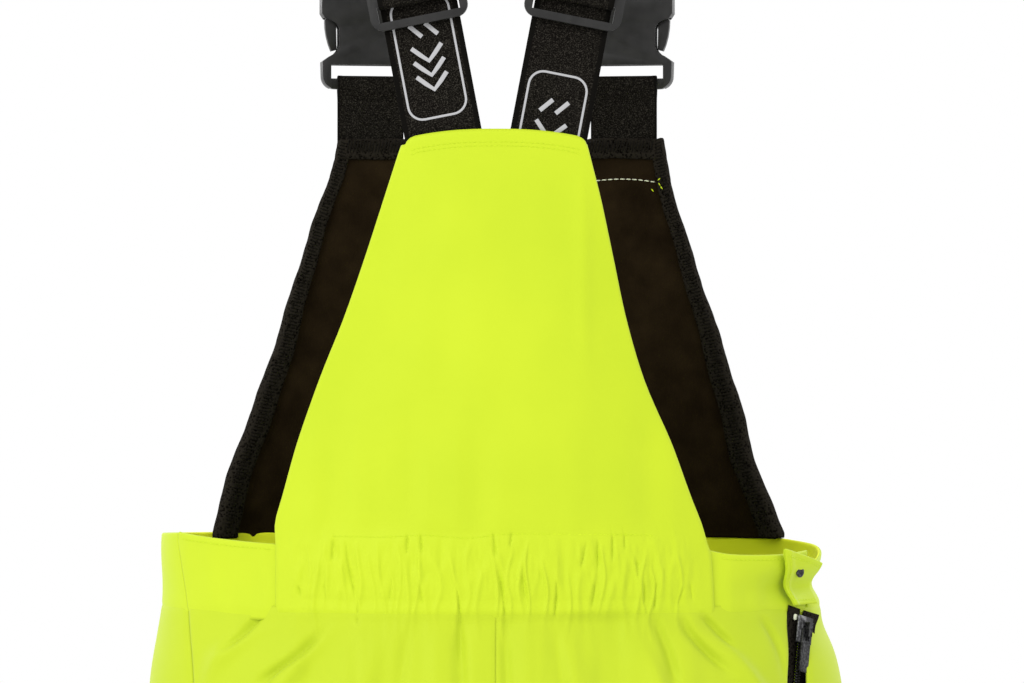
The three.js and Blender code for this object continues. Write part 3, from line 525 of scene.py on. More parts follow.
def abrasion_cloth():
    """Black basket-weave nylon: two sets of ribs at right angles, in relief and in tone."""
    made, node, link, shader = open_material("abrasion_cloth", (0.012, 0.012, 0.011), 0.75, 0.14)
    place = node("ShaderNodeTexCoord")
    ribs = node("ShaderNodeTexChecker")
    ribs.inputs["Scale"].default_value = 900
    link(place.outputs["UV"], ribs.inputs["Vector"])
    fibre = node("ShaderNodeTexNoise")
    fibre.inputs["Scale"].default_value = 1200
    link(place.outputs["Object"], fibre.inputs["Vector"])
    mixed = node("ShaderNodeMath")
    mixed.operation = "MULTIPLY_ADD"
    mixed.inputs[1].default_value = 0.6
    link(ribs.outputs["Fac"], mixed.inputs[0])
    link(fibre.outputs["Fac"], mixed.inputs[2])
    bump = node("ShaderNodeBump")
    bump.inputs["Strength"].default_value = 0.5
    bump.inputs["Distance"].default_value = 0.0004
    link(mixed.outputs[0], bump.inputs["Height"])
    link(bump.outputs[0], shader.inputs["Normal"])
    tone = node("ShaderNodeValToRGB")
    tone.color_ramp.elements[0].color = (0.006, 0.006, 0.006, 1)
    tone.color_ramp.elements[1].color = (0.022, 0.022, 0.021, 1)
    link(mixed.outputs[0], tone.inputs["Fac"])
    link(tone.outputs["Color"], shader.inputs["Base Color"])
    return made


def glass_bead_tape():
    """Silver retroreflective tape: pale grey, low metallic sheen, a very fine cross-hatched grain."""
    made, node, link, shader = open_material("glass_bead_tape", (0.46, 0.47, 0.47), 0.42, 0.6)
    shader.inputs["Metallic"].default_value = 0.35
    place = node("ShaderNodeTexCoord")
    beads = node("ShaderNodeTexVoronoi")
    beads.inputs["Scale"].default_value = 1400
    link(place.outputs["Object"], beads.inputs["Vector"])
    bump = node("ShaderNodeBump")
    bump.inputs["Strength"].default_value = 0.25
    bump.inputs["Distance"].default_value = 0.0002
    link(beads.outputs["Distance"], bump.inputs["Height"])
    link(bump.outputs[0], shader.inputs["Normal"])
    worn = node("ShaderNodeTexNoise")
    worn.inputs["Scale"].default_value = 38
    worn.inputs["Detail"].default_value = 8
    link(place.outputs["Object"], worn.inputs["Vector"])
    tone = node("ShaderNodeValToRGB")
    tone.color_ramp.elements[0].position = 0.32
    tone.color_ramp.elements[0].color = (0.36, 0.37, 0.37, 1)
    tone.color_ramp.elements[1].position = 0.62
    tone.color_ramp.elements[1].color = (0.52, 0.53, 0.53, 1)
    link(worn.outputs["Fac"], tone.inputs["Fac"])
    link(tone.outputs["Color"], shader.inputs["Base Color"])
    return made


def sewing_thread(name, colour, gloss=0.3):
    """Polyester thread: a twisted strand in relief along its length."""
    made, node, link, shader = open_material(name, colour, 0.55, gloss)
    place = node("ShaderNodeTexCoord")
    twist = node("ShaderNodeTexNoise")
    twist.inputs["Scale"].default_value = 2500
    link(place.outputs["Object"], twist.inputs["Vector"])
    bump = node("ShaderNodeBump")
    bump.inputs["Strength"].default_value = 0.3
    bump.inputs["Distance"].default_value = 0.0002
    link(twist.outputs["Fac"], bump.inputs["Height"])
    link(bump.outputs[0], shader.inputs["Normal"])
    return made


def stitches(name, lines, finish, length=2.6, gap=0.5, radius=0.24, body="garment"):
    """Seam thread. Each line is (path, outward): along the path lie spindles of the stitch length,
    square in section, whose radius is a rounded sine and whose middle bows out of the cloth."""
    points = []
    for path, out in lines:
        path = np.asarray(path, float)
        out = np.broadcast_to(np.asarray(out, float), path.shape)
        run = np.concatenate([[0], np.cumsum(np.linalg.norm(np.diff(path, axis=0), axis=1))])
        starts = np.arange(0.3, max(run[-1] - length, 0.4), length + gap)
        t = np.linspace(0, 1, 5)
        at = starts[:, None] + t * length
        centre = np.stack([np.interp(at, run, path[:, k]) for k in range(3)], -1)
        up = np.stack([np.interp(at, run, out[:, k]) for k in range(3)], -1)
        up /= np.linalg.norm(up, axis=-1, keepdims=True)
        ahead = np.gradient(centre, axis=1)
        ahead /= np.linalg.norm(ahead, axis=-1, keepdims=True)
        aside = np.cross(up, ahead)
        size = radius * (0.3 + 0.7 * np.sin(math.pi * t) ** 0.5)[None, :, None]
        lifted = centre + up * (np.sin(math.pi * t) * radius * 0.9 - radius * 0.35)[None, :, None]
        ring = [lifted + size * (math.cos(a) * up * 0.8 + math.sin(a) * aside) for a in np.arange(4) * math.pi / 2]
        points.append(np.stack(ring, 2).reshape(-1, 20, 3))
    points = np.concatenate(points)
    one = np.concatenate([grid_faces(5, 4, wrap=True), [[0, 1, 2, 3], [19, 18, 17, 16]]])
    faces = (one[None] + 20 * np.arange(len(points))[:, None, None]).reshape(-1, 4)
    points = points.reshape(-1, 3)
    made = mesh_piece(name, points, outward(points, faces), None, finish)
    if body:
        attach(made, body)
    return made


def leg_line(side, z_at, from_share, to_share, stand, count=420):
    """A seam line round a leg at height z_at, on the folded surface: (path, outward)."""
    share = np.linspace(from_share, to_share, count)[None, :] * np.ones((3, 1))
    z = np.full((3, count), float(z_at)) + np.array([[1.0], [0], [-1.0]])
    form = half_outline(share, z) * [side, 1, 1]
    normal = grid_normals(form, (side * 120, 0))
    return (form + normal * (leg_relief(share, z, side) + stand)[..., None])[1], normal[1]


abrasion = abrasion_cloth()
silver = glass_bead_tape()
yellow_thread = sewing_thread("yellow_thread", (0.56, 0.72, 0.01))
black_thread = sewing_thread("black_thread", (0.012, 0.012, 0.012), 0.1)
grey_thread = sewing_thread("grey_thread", (0.42, 0.43, 0.43))
for side_name, side in (("left", -1), ("right", 1)):
    centre = (side * 120, 0)
    hem_grid, share, z = leg_ring(side, 1.2, 25, 10)
    hem = cloth(f"turned_hem_{side_name}", hem_grid, centre, yellow, 1.0, leg_relief(share, z, side), inset=2.4)
    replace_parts(hem, f"hem_{side_name}")
    ankle_grid, share, z = leg_ring(side, 8, 120, 56)
    ankle = cloth(f"ankle_guard_{side_name}", ankle_grid, centre, abrasion, 0.8, leg_relief(share, z, side) + 1.2)
    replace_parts(ankle, f"ankle_patch_{side_name}")
    knee_grid, share, z = leg_ring(side, 395, 590, 80, 1.3, 1.78, 90)
    knee_relief = leg_relief(share, z, side) + 1.2
    knee = cloth(f"knee_guard_{side_name}", knee_grid, centre, abrasion, 0.8, knee_relief)
    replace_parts(knee, f"knee_patch_{side_name}")
    lines = [leg_line(side, low, 0.01, 1.99, 1.4) for low in (22, 116)]
    for place, low in (("lower", 160), ("upper", 290)):
        band_grid, share, z = leg_ring(side, low, low + 50, 26)
        band = cloth(f"silver_band_{place}_{side_name}", band_grid, centre, silver, 0.4, leg_relief(share, z, side) + 0.8)
        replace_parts(band, f"reflective_band_{place}_{side_name}")
        lines += [leg_line(side, low + up, 0.01, 1.99, 0.95) for up in (2.5, 47.5)]
    stitches(f"leg_seam_thread_{side_name}", lines, grey_thread, 3.0, 0.8, 0.22)
    knee_lines = [leg_line(side, at, 1.31, 1.77, 1.35, 120) for at in (399, 402, 583, 586)]
    down = np.linspace(586, 399, 60)
    for at in (1.32, 1.335, 1.745, 1.76):
        strip = half_outline(np.array([[at - 0.01], [at], [at + 0.01]]), down[None, :]) * [side, 1, 1]
        normal = grid_normals(strip, centre)
        share = np.array([[at - 0.01], [at], [at + 0.01]]) * np.ones((1, 60))
        raised = strip + normal * (leg_relief(share, down[None, :] * np.ones((3, 1)), side) + 1.35)[..., None]
        knee_lines.append((raised[1], normal[1]))
    stitches(f"knee_seam_thread_{side_name}", knee_lines, black_thread, 3.0, 0.8, 0.22)

# ---------------------------------------------------------------- back bib
# One shaped piece of twill, faced and topstitched along its arched top. At the waist it runs over
# the elastic, whose tunnel gathers it, and ends in the seam of the trousers.
def trunk(x, z, facing):
    """The wearer's trunk at width x and height z: half an ellipse, to the front (1) or back (-1)."""
    if facing > 0:
        depth = through(z, [(900, 123.75), (968, 120), (1018, 114), (1060, 110), (1330, 106)])
        half = through(z, [(1060, 211), (1330, 229)])
    else:
        depth = through(z, [(900, 123.75), (968, 118), (1018, 110), (1060, 106), (1330, 104)])
        half = 211 - 24 * np.clip((z - 1060) / 270, 0, 1)
    x, y = np.broadcast_arrays(x, facing * depth * np.sqrt(np.clip(1 - (x / half) ** 2, 0, 1)))
    return np.stack([x, y, np.broadcast_to(z, x.shape)], -1)


def back_bib_edge(z, side):
    """Distance of the back bib's edge from its middle."""
    left = [(1018, 137.5), (1056, 137.5), (1072, 138), (1087, 134), (1124, 123), (1161, 110), (1198, 95), (1235, 82), (1272, 70), (1309, 58), (1320, 54)]
    right = [(1018, 136), (1052, 134), (1060, 131.5), (1072, 128), (1087, 122), (1124, 108), (1161, 92), (1198, 81), (1235, 73), (1272, 65), (1309, 56), (1320, 54)]
    return through(z, left if side < 0 else right)


BIB_TOP = 1316.2


def bib_top(x):
    """Height of the back bib's arched top, rounded off at its corners."""
    corner = np.clip((np.abs(x) - 49.5) / 6.5, 0, 1)
    return BIB_TOP - 5.5 * (np.abs(x) / 56) ** 2.4 - 4.5 * (1 - np.sqrt(1 - corner**2 * 0.98))


def bib_relief(x, z):
    """Outward relief of the back bib: the waist's gathers, then slight waves that lie along it."""
    height = waist_relief(x, z) + hip_relief(x, z)
    wave = 1.3 * rumple(x, z * 0.35, 42, 15) + 0.5 * rumple(x, z * 0.5, 17, 16)
    height = height + wave * fade(z, 1070, 1120) * (1 - 0.7 * fade(z, 1270, 1305))
    height = height + 1.0 * np.exp(-(((x - 54) / 5) ** 2)) * fade(z, 1150, 1200) * (1 - fade(z, 1270, 1300))
    return height - 1.2 * (1 - fade(z, 1011, 1020))


bib_rows, bib_columns = 78, 610
fall = np.concatenate([np.linspace(1, 0.975, 5), np.linspace(0.955, 0.19, 35), np.linspace(0.185, 0, 38)])[:, None]
spread = np.linspace(-1, 1, bib_columns)[None, :]
z = 1011 + (1312 - 1011) * fall * np.ones((1, bib_columns))
for _ in range(3):
    edge = np.where(spread < 0, back_bib_edge(z, -1), back_bib_edge(z, 1))
    z = 1011 + (bib_top(spread * edge) - 1011) * fall
x = spread * edge
bib_form = trunk(x, z, -1)
rim = np.minimum(np.arange(bib_columns), np.arange(bib_columns)[::-1])[None, :] * np.ones((bib_rows, 1))
bib_roll = -0.9 * np.exp(-((rim / 3.0) ** 2)) - 0.7 * np.exp(-(((1 - fall) / 0.006) ** 2))
back_bib = cloth("back_bib_panel", bib_form, (0, 0), yellow, 1.4, bib_relief(x, z) + bib_roll)
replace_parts(back_bib, "back_bib")


def on_bib(x, z, stand):
    """A seam line on the back bib through arrays of x and z: (path, outward)."""
    x, z = np.asarray(x, float), np.asarray(z, float)
    form = trunk(x, z, -1)
    out = form * [1 / 211**2, 1 / 106**2, 0]
    out /= np.linalg.norm(out, axis=-1, keepdims=True)
    return form + out * (bib_relief(x, z) + stand)[..., None], out


across = np.linspace(-53, 53, 90)
bib_lines = [on_bib(across * 0.99, bib_top(across) - 8.2, 0.12), on_bib(across * 0.985, bib_top(across) - 10.6, 0.12)]
across = np.linspace(-101, 98, 340)
bib_lines.append(on_bib(across, 1065 + 2.2 * rumple(across, 0 * across, 26, 61), 0.1))
stitches("back_bib_thread", bib_lines, yellow_thread, 2.6, 0.6, 0.15)

# ---------------------------------------------------------------- back waist elastic and its tunnel
# Flat woven elastic, stretched while it was sewn, between the bib and a twill tunnel strip. Both
# lie inside the gathers and take their folds.
inside_waist = np.linspace(0, 1, 90)[None, :]
for name, node_name, slot_name, half_width, low, high, inset, thick, finish, held, size in (
    ("waist_elastic_band", "waist_elastic", "webbing", 124, 1020, 1058, 3.2, 1.2, abrasion, "stretched", (0.25, 0.038)),
    ("tunnel_strip", "elastic_casing", "hi_vis_shell", 131, 1019, 1059.5, 5.4, 0.8, yellow, "gathered", (0.30, 0.042)),
):
    z = np.linspace(high, low, 14)[:, None] * np.ones((1, 90))
    x = (inside_waist * 2 - 1) * half_width * np.ones((14, 1))
    strip = cloth(name, trunk(x, z, -1), (0, 0), finish, thick, 0.5 * waist_relief(x, z), inset=inset)
    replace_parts(strip, node_name)

# ---------------------------------------------------------------- front bib: shell and lining
# A shaped twill shell with a black knitted lining behind it, which shows past the back bib. A
# sewing thread left in the seam crosses the lining under its top.
def front_bib_edge(z, side):
    """Distance of the front bib's edge from its middle, with the slight unevenness of the seam."""
    left = [(1060, 186), (1069, 184.4), (1107, 173.7), (1146, 159.3), (1186, 145.8), (1252, 125.7), (1295, 111), (1318, 104.8)]
    right = [(1060, 188), (1069, 184), (1107, 169.8), (1146, 159.9), (1186, 147.7), (1252, 126.2), (1295, 114), (1318, 110)]
    return through(z, left if side < 0 else right) + 0.5 * np.sin(z / 9.0 + side) + 0.12 * np.sin(z / 2.9)


def lining_relief(x, z):
    """Relief of the lining, towards the wearer: slack upright folds and one pressed crease."""
    height = 1.5 * rumple(x, z * 0.22, 30, 71) + 0.5 * rumple(x, z * 0.4, 11, 72)
    return (height + crease(x, z, [(1245, 82), (1290, 84)], 0.9, 1.5) - 1.0) * (1 - fade(z, 1276, 1300)) + 0.6 * fade(z, 1276, 1300)


def lining_cloth():
    """Black warp-knit lining: fine upright ribs, a brown cast and a dry, matt surface."""
    made, node, link, shader = open_material("bib_lining_knit", (0.0125, 0.0085, 0.0040), 0.9, 0.05)
    place = node("ShaderNodeTexCoord")
    split = node("ShaderNodeSeparateXYZ")
    link(place.outputs["UV"], split.inputs[0])
    ribs = node("ShaderNodeMath")
    ribs.operation = "MULTIPLY"
    ribs.inputs[1].default_value = 2 * math.pi / 0.0011
    link(split.outputs["X"], ribs.inputs[0])
    wave = node("ShaderNodeMath")
    wave.operation = "SINE"
    link(ribs.outputs[0], wave.inputs[0])
    loops = node("ShaderNodeTexNoise")
    loops.inputs["Scale"].default_value = 1100
    link(place.outputs["Object"], loops.inputs["Vector"])
    mixed = node("ShaderNodeMath")
    mixed.operation = "MULTIPLY_ADD"
    mixed.inputs[1].default_value = 0.3
    link(wave.outputs[0], mixed.inputs[0])
    link(loops.outputs["Fac"], mixed.inputs[2])
    bump = node("ShaderNodeBump")
    bump.inputs["Strength"].default_value = 0.35
    bump.inputs["Distance"].default_value = 0.0003
    link(mixed.outputs[0], bump.inputs["Height"])
    link(bump.outputs[0], shader.inputs["Normal"])
    drift = node("ShaderNodeTexNoise")
    drift.inputs["Scale"].default_value = 60
    drift.inputs["Detail"].default_value = 8
    link(place.outputs["Object"], drift.inputs["Vector"])
    tone = node("ShaderNodeValToRGB")
    tone.color_ramp.elements[0].position = 0.3
    tone.color_ramp.elements[0].color = (0.0080, 0.0045, 0.0015, 1)
    tone.color_ramp.elements[1].position = 0.75
    tone.color_ramp.elements[1].color = (0.0170, 0.0105, 0.0042, 1)
    link(drift.outputs["Fac"], tone.inputs["Fac"])
    link(tone.outputs["Color"], shader.inputs["Base Color"])
    return made


lining_knit = lining_cloth()



def front_relief(x, z):
    """Outward relief of the front bib's shell: it lies flat under the bound edges."""
    edge = np.where(x < 0, front_bib_edge(z, -1), front_bib_edge(z, 1))
    loose = fade(edge - np.abs(x), 6, 24) * fade(1318 - z, 6, 24)
    return loose * (0.8 * rumple(x, z * 0.5, 55, 75) + 0.3 * rumple(x, z, 22, 76))


def front_bib_grid(low, rows, columns):
    """Grid of (x, z) on the front bib, from its bound edges to a level line at height low."""
    z = np.linspace(1318, low, rows)[:, None] * np.ones((1, columns))
    spread = np.linspace(-1, 1, columns)[None, :]
    edge = np.where(spread < 0, front_bib_edge(z, -1), front_bib_edge(z, 1))
    return spread * (edge - 2.2), z


x, z = front_bib_grid(1058.5, 130, 170)
front_shell = cloth("front_bib_shell_panel", trunk(x, z, 1), (0, 0), yellow, 1.2, front_relief(x, z))
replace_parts(front_shell, "front_bib_shell")
x, z = front_bib_grid(1056, 140, 170)
lining_inset = 6.0 - 2.4 * (1 - fade(z, 1058, 1085))
lining = cloth("bib_lining_panel", trunk(x, z, 1), (0, 0), lining_knit, 0.8, -lining_relief(x, z), inset=lining_inset)
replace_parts(lining, "front_bib_lining")


def on_lining(x, z, stand):
    """A line on the wearer's side of the front bib, stand millimetres off the lining."""
    x, z = np.asarray(x, float), np.asarray(z, float)
    form = trunk(x, z, 1)
    out = -form * [1 / 215**2, 1 / 108**2, 0]
    out /= np.linalg.norm(out, axis=-1, keepdims=True)
    return form + out * (6.8 + lining_relief(x, z) + stand)[..., None], out


white_thread = sewing_thread("white_thread", (0.72, 0.74, 0.55))
along = np.linspace(0, 1, 60)
loose = on_lining(66 + 42 * along, 1291.5 + 1.8 * np.sin(along * 3.0) - 1.6 * along, 0.5)
stitches("basting_thread", [loose], white_thread, 3.4, 0.7, 0.42)
stray = [on_lining([109.5, 112.5], [1290, 1285], 4.2), on_lining([104.5, 106.5], [1286, 1283.5], 3.4), on_lining([111, 109], [1293, 1291], 4.2)]
stitches("thread_ends", stray, yellow_thread, 2.3, 0.3, 0.4)

# ---------------------------------------------------------------- front bib bindings
# The bib's sides and top are bound with black knit tape and overlocked: a row of looped thread
# crosses the tape's edge all the way round.
def overlock_tape():
    """Black knit tape under overlock thread: a rough, loopy relief, with a tone that follows it: painted highlight on
    the thread tops and painted shade in the hollows between the loops.
    """
    made, node, link, shader = open_material("overlock_tape", (0.005, 0.004, 0.003), 0.95, 0.02)
    place = node("ShaderNodeTexCoord")
    loops = node("ShaderNodeTexVoronoi")
    loops.inputs["Scale"].default_value = 620
    link(place.outputs["Object"], loops.inputs["Vector"])
    tufts = node("ShaderNodeTexNoise")
    tufts.inputs["Scale"].default_value = 330
    tufts.inputs["Detail"].default_value = 6
    link(place.outputs["Object"], tufts.inputs["Vector"])
    height = node("ShaderNodeMath")
    height.operation = "ADD"
    link(loops.outputs["Distance"], height.inputs[0])
    link(tufts.outputs["Fac"], height.inputs[1])
    bump = node("ShaderNodeBump")
    bump.inputs["Strength"].default_value = 0.7
    bump.inputs["Distance"].default_value = 0.0009
    link(height.outputs[0], bump.inputs["Height"])
    link(bump.outputs[0], shader.inputs["Normal"])
    # The tone is read from the relief's height: painted shade on the low parts, painted highlight on the high ones.
    tone = node("ShaderNodeValToRGB")
    tone.color_ramp.elements[0].position = 0.75
    tone.color_ramp.elements[0].color = (0.0026, 0.0020, 0.0014, 1)
    tone.color_ramp.elements[1].position = 1.25 / 1.3
    tone.color_ramp.elements[1].color = (0.017, 0.0145, 0.011, 1)
    link(height.outputs[0], tone.inputs["Fac"])
    link(tone.outputs["Color"], shader.inputs["Base Color"])
    return made


bound_edge = overlock_tape()
overlock_thread = sewing_thread("overlock_thread", (0.0065, 0.0055, 0.004), 0.06)
# How the tape folds round the edge: (beyond the edge, depth towards the wearer) stations.
tape_fold = np.array([(-13, 7.9), (-12.6, 8.8), (-9, 9.0), (-5, 9.1), (-1.5, 8.8), (0.4, 7.6), (1.0, 5.6), (1.0, 3.2), (0.5, 0.9), (-0.8, -0.5), (-3, -0.8), (-5.5, -0.8), (-6, -0.4)])


def bound_point(x, z, side, depth):
    """A point on the binding: the bib's form at x, moved by depth along its level normal."""
    form = trunk(x, z, 1)
    out = form * [1 / 215**2, 1 / 108**2, 0]
    return form - out / np.linalg.norm(out, axis=-1, keepdims=True) * depth[..., None]


# The binding's fold on the wearer's side gets narrower towards the top.
fold_share = [(1057, 0.93), (1155, 0.93), (1220, 0.70), (1279, 0.58), (1319, 0.58)]
for side_name, side in (("left", -1), ("right", 1)):
    rows = 220
    z = np.linspace(1318.5, 1057, rows)[:, None] * np.ones((1, len(tape_fold)))
    reach = np.where(tape_fold[None, :, 0] < 0, through(z, fold_share), 1.0) * tape_fold[None, :, 0]
    rough = 0.35 * rumple(z, tape_fold[None, :, 0] * 1.7, 2.6, 81 + side) + 0.25 * rumple(z, tape_fold[None, :, 0], 6, 84)
    x = side * (front_bib_edge(z, side) + reach + 0.6 * rough)
    grid = bound_point(x, z, side, tape_fold[None, :, 1] + 0.9 * rough)
    down = np.concatenate([[0], np.cumsum(np.linalg.norm(np.diff(grid[:, 3], axis=0), axis=1))])
    round_fold = np.concatenate([[0], np.cumsum(np.linalg.norm(np.diff(tape_fold, axis=0), axis=1))])
    uv = np.stack(np.meshgrid(round_fold, down), -1).reshape(-1, 2) * 0.001
    faces = grid_faces(rows, len(tape_fold))
    tape = mesh_piece(f"side_binding_{side_name}", grid.reshape(-1, 3), faces if side > 0 else faces[:, ::-1], uv, bound_edge)
    wall = tape.modifiers.new("tape", "SOLIDIFY")
    wall.thickness = 0.0009
    wall.offset = -1
    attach(tape, "garment")
    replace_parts(tape, f"bib_side_binding_{side_name}")
    loops = []
    for at in np.arange(1316, 1062, -2.1):
        ends = at + np.array([-0.9, 0.9])
        reach = side * (front_bib_edge(ends, side) + np.array([-9.5, 0.4]) * [through(ends, fold_share)[0], 1])
        loops.append((bound_point(reach, ends, side, np.array([9.5, 9.3])), (0, -1, 0)))
    stitches(f"side_overlock_{side_name}", loops, overlock_thread, 9.4, 0.1, 0.42)

rows, columns = len(tape_fold), 220
x = np.linspace(-1, 1, columns)[None, :] * np.ones((rows, 1))
x = np.where(x < 0, x * (front_bib_edge(1318, -1) + 0.6), x * (front_bib_edge(1318, 1) + 0.6))
rough = 0.35 * rumple(x, tape_fold[:, :1] * 1.7, 2.6, 86) + 0.25 * rumple(x, tape_fold[:, :1], 6, 87)
z = 1318.6 + tape_fold[:, :1] + 0.8 * rough + 0.6 * rumple(x, 0 * x, 24, 88)
grid = bound_point(x, z, 1, tape_fold[:, 1:] + 0.4 + 0.9 * rough)
uv = np.stack(np.broadcast_arrays(x, np.arange(rows)[:, None] * 2.0), -1).reshape(-1, 2) * 0.001
top_tape = mesh_piece("top_binding", grid.reshape(-1, 3), grid_faces(rows, columns)[:, ::-1], uv, bound_edge)
wall = top_tape.modifiers.new("tape", "SOLIDIFY")
wall.thickness = 0.0009
wall.offset = -1
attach(top_tape, "garment")
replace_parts(top_tape, "bib_top_binding")
loops = []
for at in np.arange(-101, 106, 2.1):
    ends = np.array([at - 0.9, at + 0.9])
    loops.append((bound_point(ends, np.array([1309.4, 1319.0]), 1, np.array([9.9, 9.7])), (0, -1, 0)))
stitches("top_overlock", loops, overlock_thread, 9.4, 0.1, 0.42)

# ---------------------------------------------------------------- chest pocket
# A patch pocket on the front bib with a flap. Both are doubled twill, topstitched at their edges;
# the flap is sewn along its top seam.
for name, node_name, body, low, high, left, right, stand in (
    ("pocket_patch", "chest_pocket", "garment", 1166, 1284, -42, 92, 2.0),
    ("pocket_flap_panel", "chest_pocket_flap", None, 1252, 1292, -45, 95, 4.4),
):
    rows, columns = 60, 90
    down = np.linspace(0, 1, rows)[:, None] * np.ones((1, columns))
    x = np.linspace(left, right, columns)[None, :] * np.ones((rows, 1))
    across = (x - left) / (right - left) * 2 - 1
    corner = np.clip((np.abs(across) - 0.8) / 0.2, 0, 1)
    z = high - (high - low - 6 * (1 - np.sqrt(1 - 0.98 * corner**2))) * down
    rim = np.minimum(np.minimum(down, 1 - down) * rows, np.minimum(across + 1, 1 - across) * columns / 2)
    relief = front_relief(x, z) + stand - 0.9 * np.exp(-((rim / 1.5) ** 2)) + 0.5 * rumple(x, z, 30, 91)
    pocket = cloth(name, trunk(x, z, 1), (0, 0), yellow, 1.4, relief, body)
    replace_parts(pocket, node_name)
    size = (0.150, 0.118) if body else (0.152, 0.042)
    form = trunk(x, z, 1)
    normal = grid_normals(form, (0, 0))
    face = form + normal * (relief + 0.1)[..., None]
    lines = []
    for inset in (3, 6):
        loop = [face[inset, inset:-inset], face[inset:-inset, -1 - inset], face[-1 - inset, inset:-inset][::-1], face[inset:-inset, inset][::-1]]
        turn = [normal[inset, inset:-inset], normal[inset:-inset, -1 - inset], normal[-1 - inset, inset:-inset][::-1], normal[inset:-inset, inset][::-1]]
        lines += list(zip(loop, turn))
    seams = stitches(f"{name}_thread", lines, yellow_thread, 2.6, 0.6, 0.2, body)
    if not body:
        for soft in (pocket, seams):
            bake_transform(soft)

# ---------------------------------------------------------------- waistband, waist tab and its stud
# A doubled band of twill finishes the waist. Its front part overlaps the back part at the right
# side as a tab, which a press stud closes over the zip.
# The band's inner face gets a copy of the twill with a tone near twice that of the outer face: painted light, standing
# in for light that reaches inside the waist.
inside_painted_light = hi_vis_cloth("fluorescent_twill_inside_painted_light")
inside_painted_light_tone = next(n for n in inside_painted_light.node_tree.nodes if n.type == "VALTORGB")
inside_painted_light_tone.color_ramp.elements[0].color = (0.80, 0.88, 0.018, 1)
inside_painted_light_tone.color_ramp.elements[1].color = (0.88, 0.94, 0.022, 1)


def band_solid(name, node_name, form_at, high, finish, thick, relief_at, stand=0.0, body="garment", low=1012, under=0.0):
    """A doubled band: up the outside, over the fold as a half circle and down the inside.
    form_at(z) gives the form's points and high the height of the fold, column by column."""
    round_by = thick / 2
    arc = np.linspace(0, math.pi, 9)[1:-1]
    up = np.linspace(0, 1, 22)
    levels = [low + (high - round_by - low) * u for u in up]
    levels += [high - round_by + round_by * math.sin(a) for a in arc]
    levels += [low + (high - round_by - low) * u for u in up[::-1]]
    depth = np.concatenate([0 * up, round_by * (1 - np.cos(arc)), 0 * up + thick])
    grid = []
    for level, inset in zip(levels, depth):
        form = form_at(level)
        along = np.gradient(form, axis=0)
        out = np.stack([along[:, 1], -along[:, 0], 0 * along[:, 0]], -1)
        out /= np.linalg.norm(out, axis=1, keepdims=True)
        out *= np.sign((out * form).sum())
        grid.append(form + out * (stand + relief_at(form[:, 0], level) - under - inset)[:, None])
    grid = np.stack(grid, 1)
    columns, ring = grid.shape[:2]
    faces = grid_faces(columns, ring, wrap=True)
    points = grid.reshape(-1, 3)
    turned = outward(points, faces)
    caps = [np.arange(ring), np.arange((columns - 1) * ring, columns * ring)[::-1]]
    if turned[0, 0] != faces[0, 0]:
        caps = [cap[::-1] for cap in caps]
    run = np.concatenate([[0], np.cumsum(np.linalg.norm(np.diff(grid[:, 5], axis=0), axis=1))])
    uv = np.stack(np.broadcast_arrays(run[:, None], np.array([l.mean() for l in levels])[None, :]), -1)
    made = mesh_piece(name, points, turned, uv.reshape(-1, 2) * 0.001, finish, caps)
    # The inner faces take the brightened inside twill: painted light.
    made.data.materials.append(inside_painted_light)
    inner = np.concatenate([np.tile(np.arange(ring) >= len(up) + len(arc) // 2, columns - 1), [False, False]])
    made.data.polygons.foreach_set("material_index", inner.astype(np.int32))
    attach(made, body)
    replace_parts(made, node_name)
    return made, grid[:, : len(up)]


def share_at(x):
    """Share of the half outline at distance x from the middle, at the waist."""
    return 0.985 * 2 / math.pi * np.arcsin(np.asarray(x) / 211) + 0.008


def around_waist(u, z):
    """The waist's outline from the right side (share 0.8), round the front, to the left seam."""
    share = 0.806 * (1 - u) + (4 - side_seam(z) - 0.0004) * u
    right = half_outline(np.minimum(share, 2), z)
    left = half_outline(np.minimum(4 - share, 2), z) * [-1, 1, 1]
    return np.where((share <= 2)[:, None], right, left)


def band_relief(x, z):
    """Relief of the waistband: slight waves and puckers along its seams."""
    height = band_waves(x, z) + side_dent(x, z) + 3.2 * fade(-x, 150, 206) - 1.2 * (1 - fade(z, 1012, 1020))
    return height - 3.2 * fade(x, 175, 205) * fade(z, 1034, 1042)


u = np.linspace(0, 1, 420)
front_high = through(u, [(0, 1043.5), (0.03, 1046), (0.1, 1053), (0.18, 1056), (0.3, 1059), (0.6, 1059), (0.85, 1061.5), (1, 1064.5)])
front_band, _ = band_solid("waistband_front_band", "waistband_front", lambda z: around_waist(u, z), front_high, yellow, 2.8, band_relief)
u = np.linspace(0, 1, 130)
left_share = lambda z: share_at(129.0) * (1 - u) + (side_seam(z) - 0.0004) * u
left_high = 1058.9 + 6.0 * u**1.3
left_band, left_face = band_solid("waistband_left_band", "waistband_back_left", lambda z: half_outline(left_share(z), z) * [-1, 1, 1], left_high, yellow, 2.8, band_relief, under=1.5 * (1 - fade(u, 0.08, 0.2)))
right_high = through(134 + 60 * u, [(134, 1056.2), (146, 1052.4), (175, 1051.6), (194, 1053)])
right_share = share_at(129.0) * (1 - u) + 0.79 * u
right_band, right_face = band_solid("waistband_right_band", "waistband_back_right", lambda z: half_outline(right_share, z), right_high, yellow, 2.8, band_relief, under=1.5 * (1 - fade(u, 0.06, 0.2)))
u = np.linspace(0, 1, 80)


def tab_share(z):
    """Shares across the tab: its free end leans forwards towards the bottom."""
    lean = np.clip((z - 1019) / 32, 0, 1)
    return (0.700 - 0.062 * lean) * (1 - u) + 0.826 * u


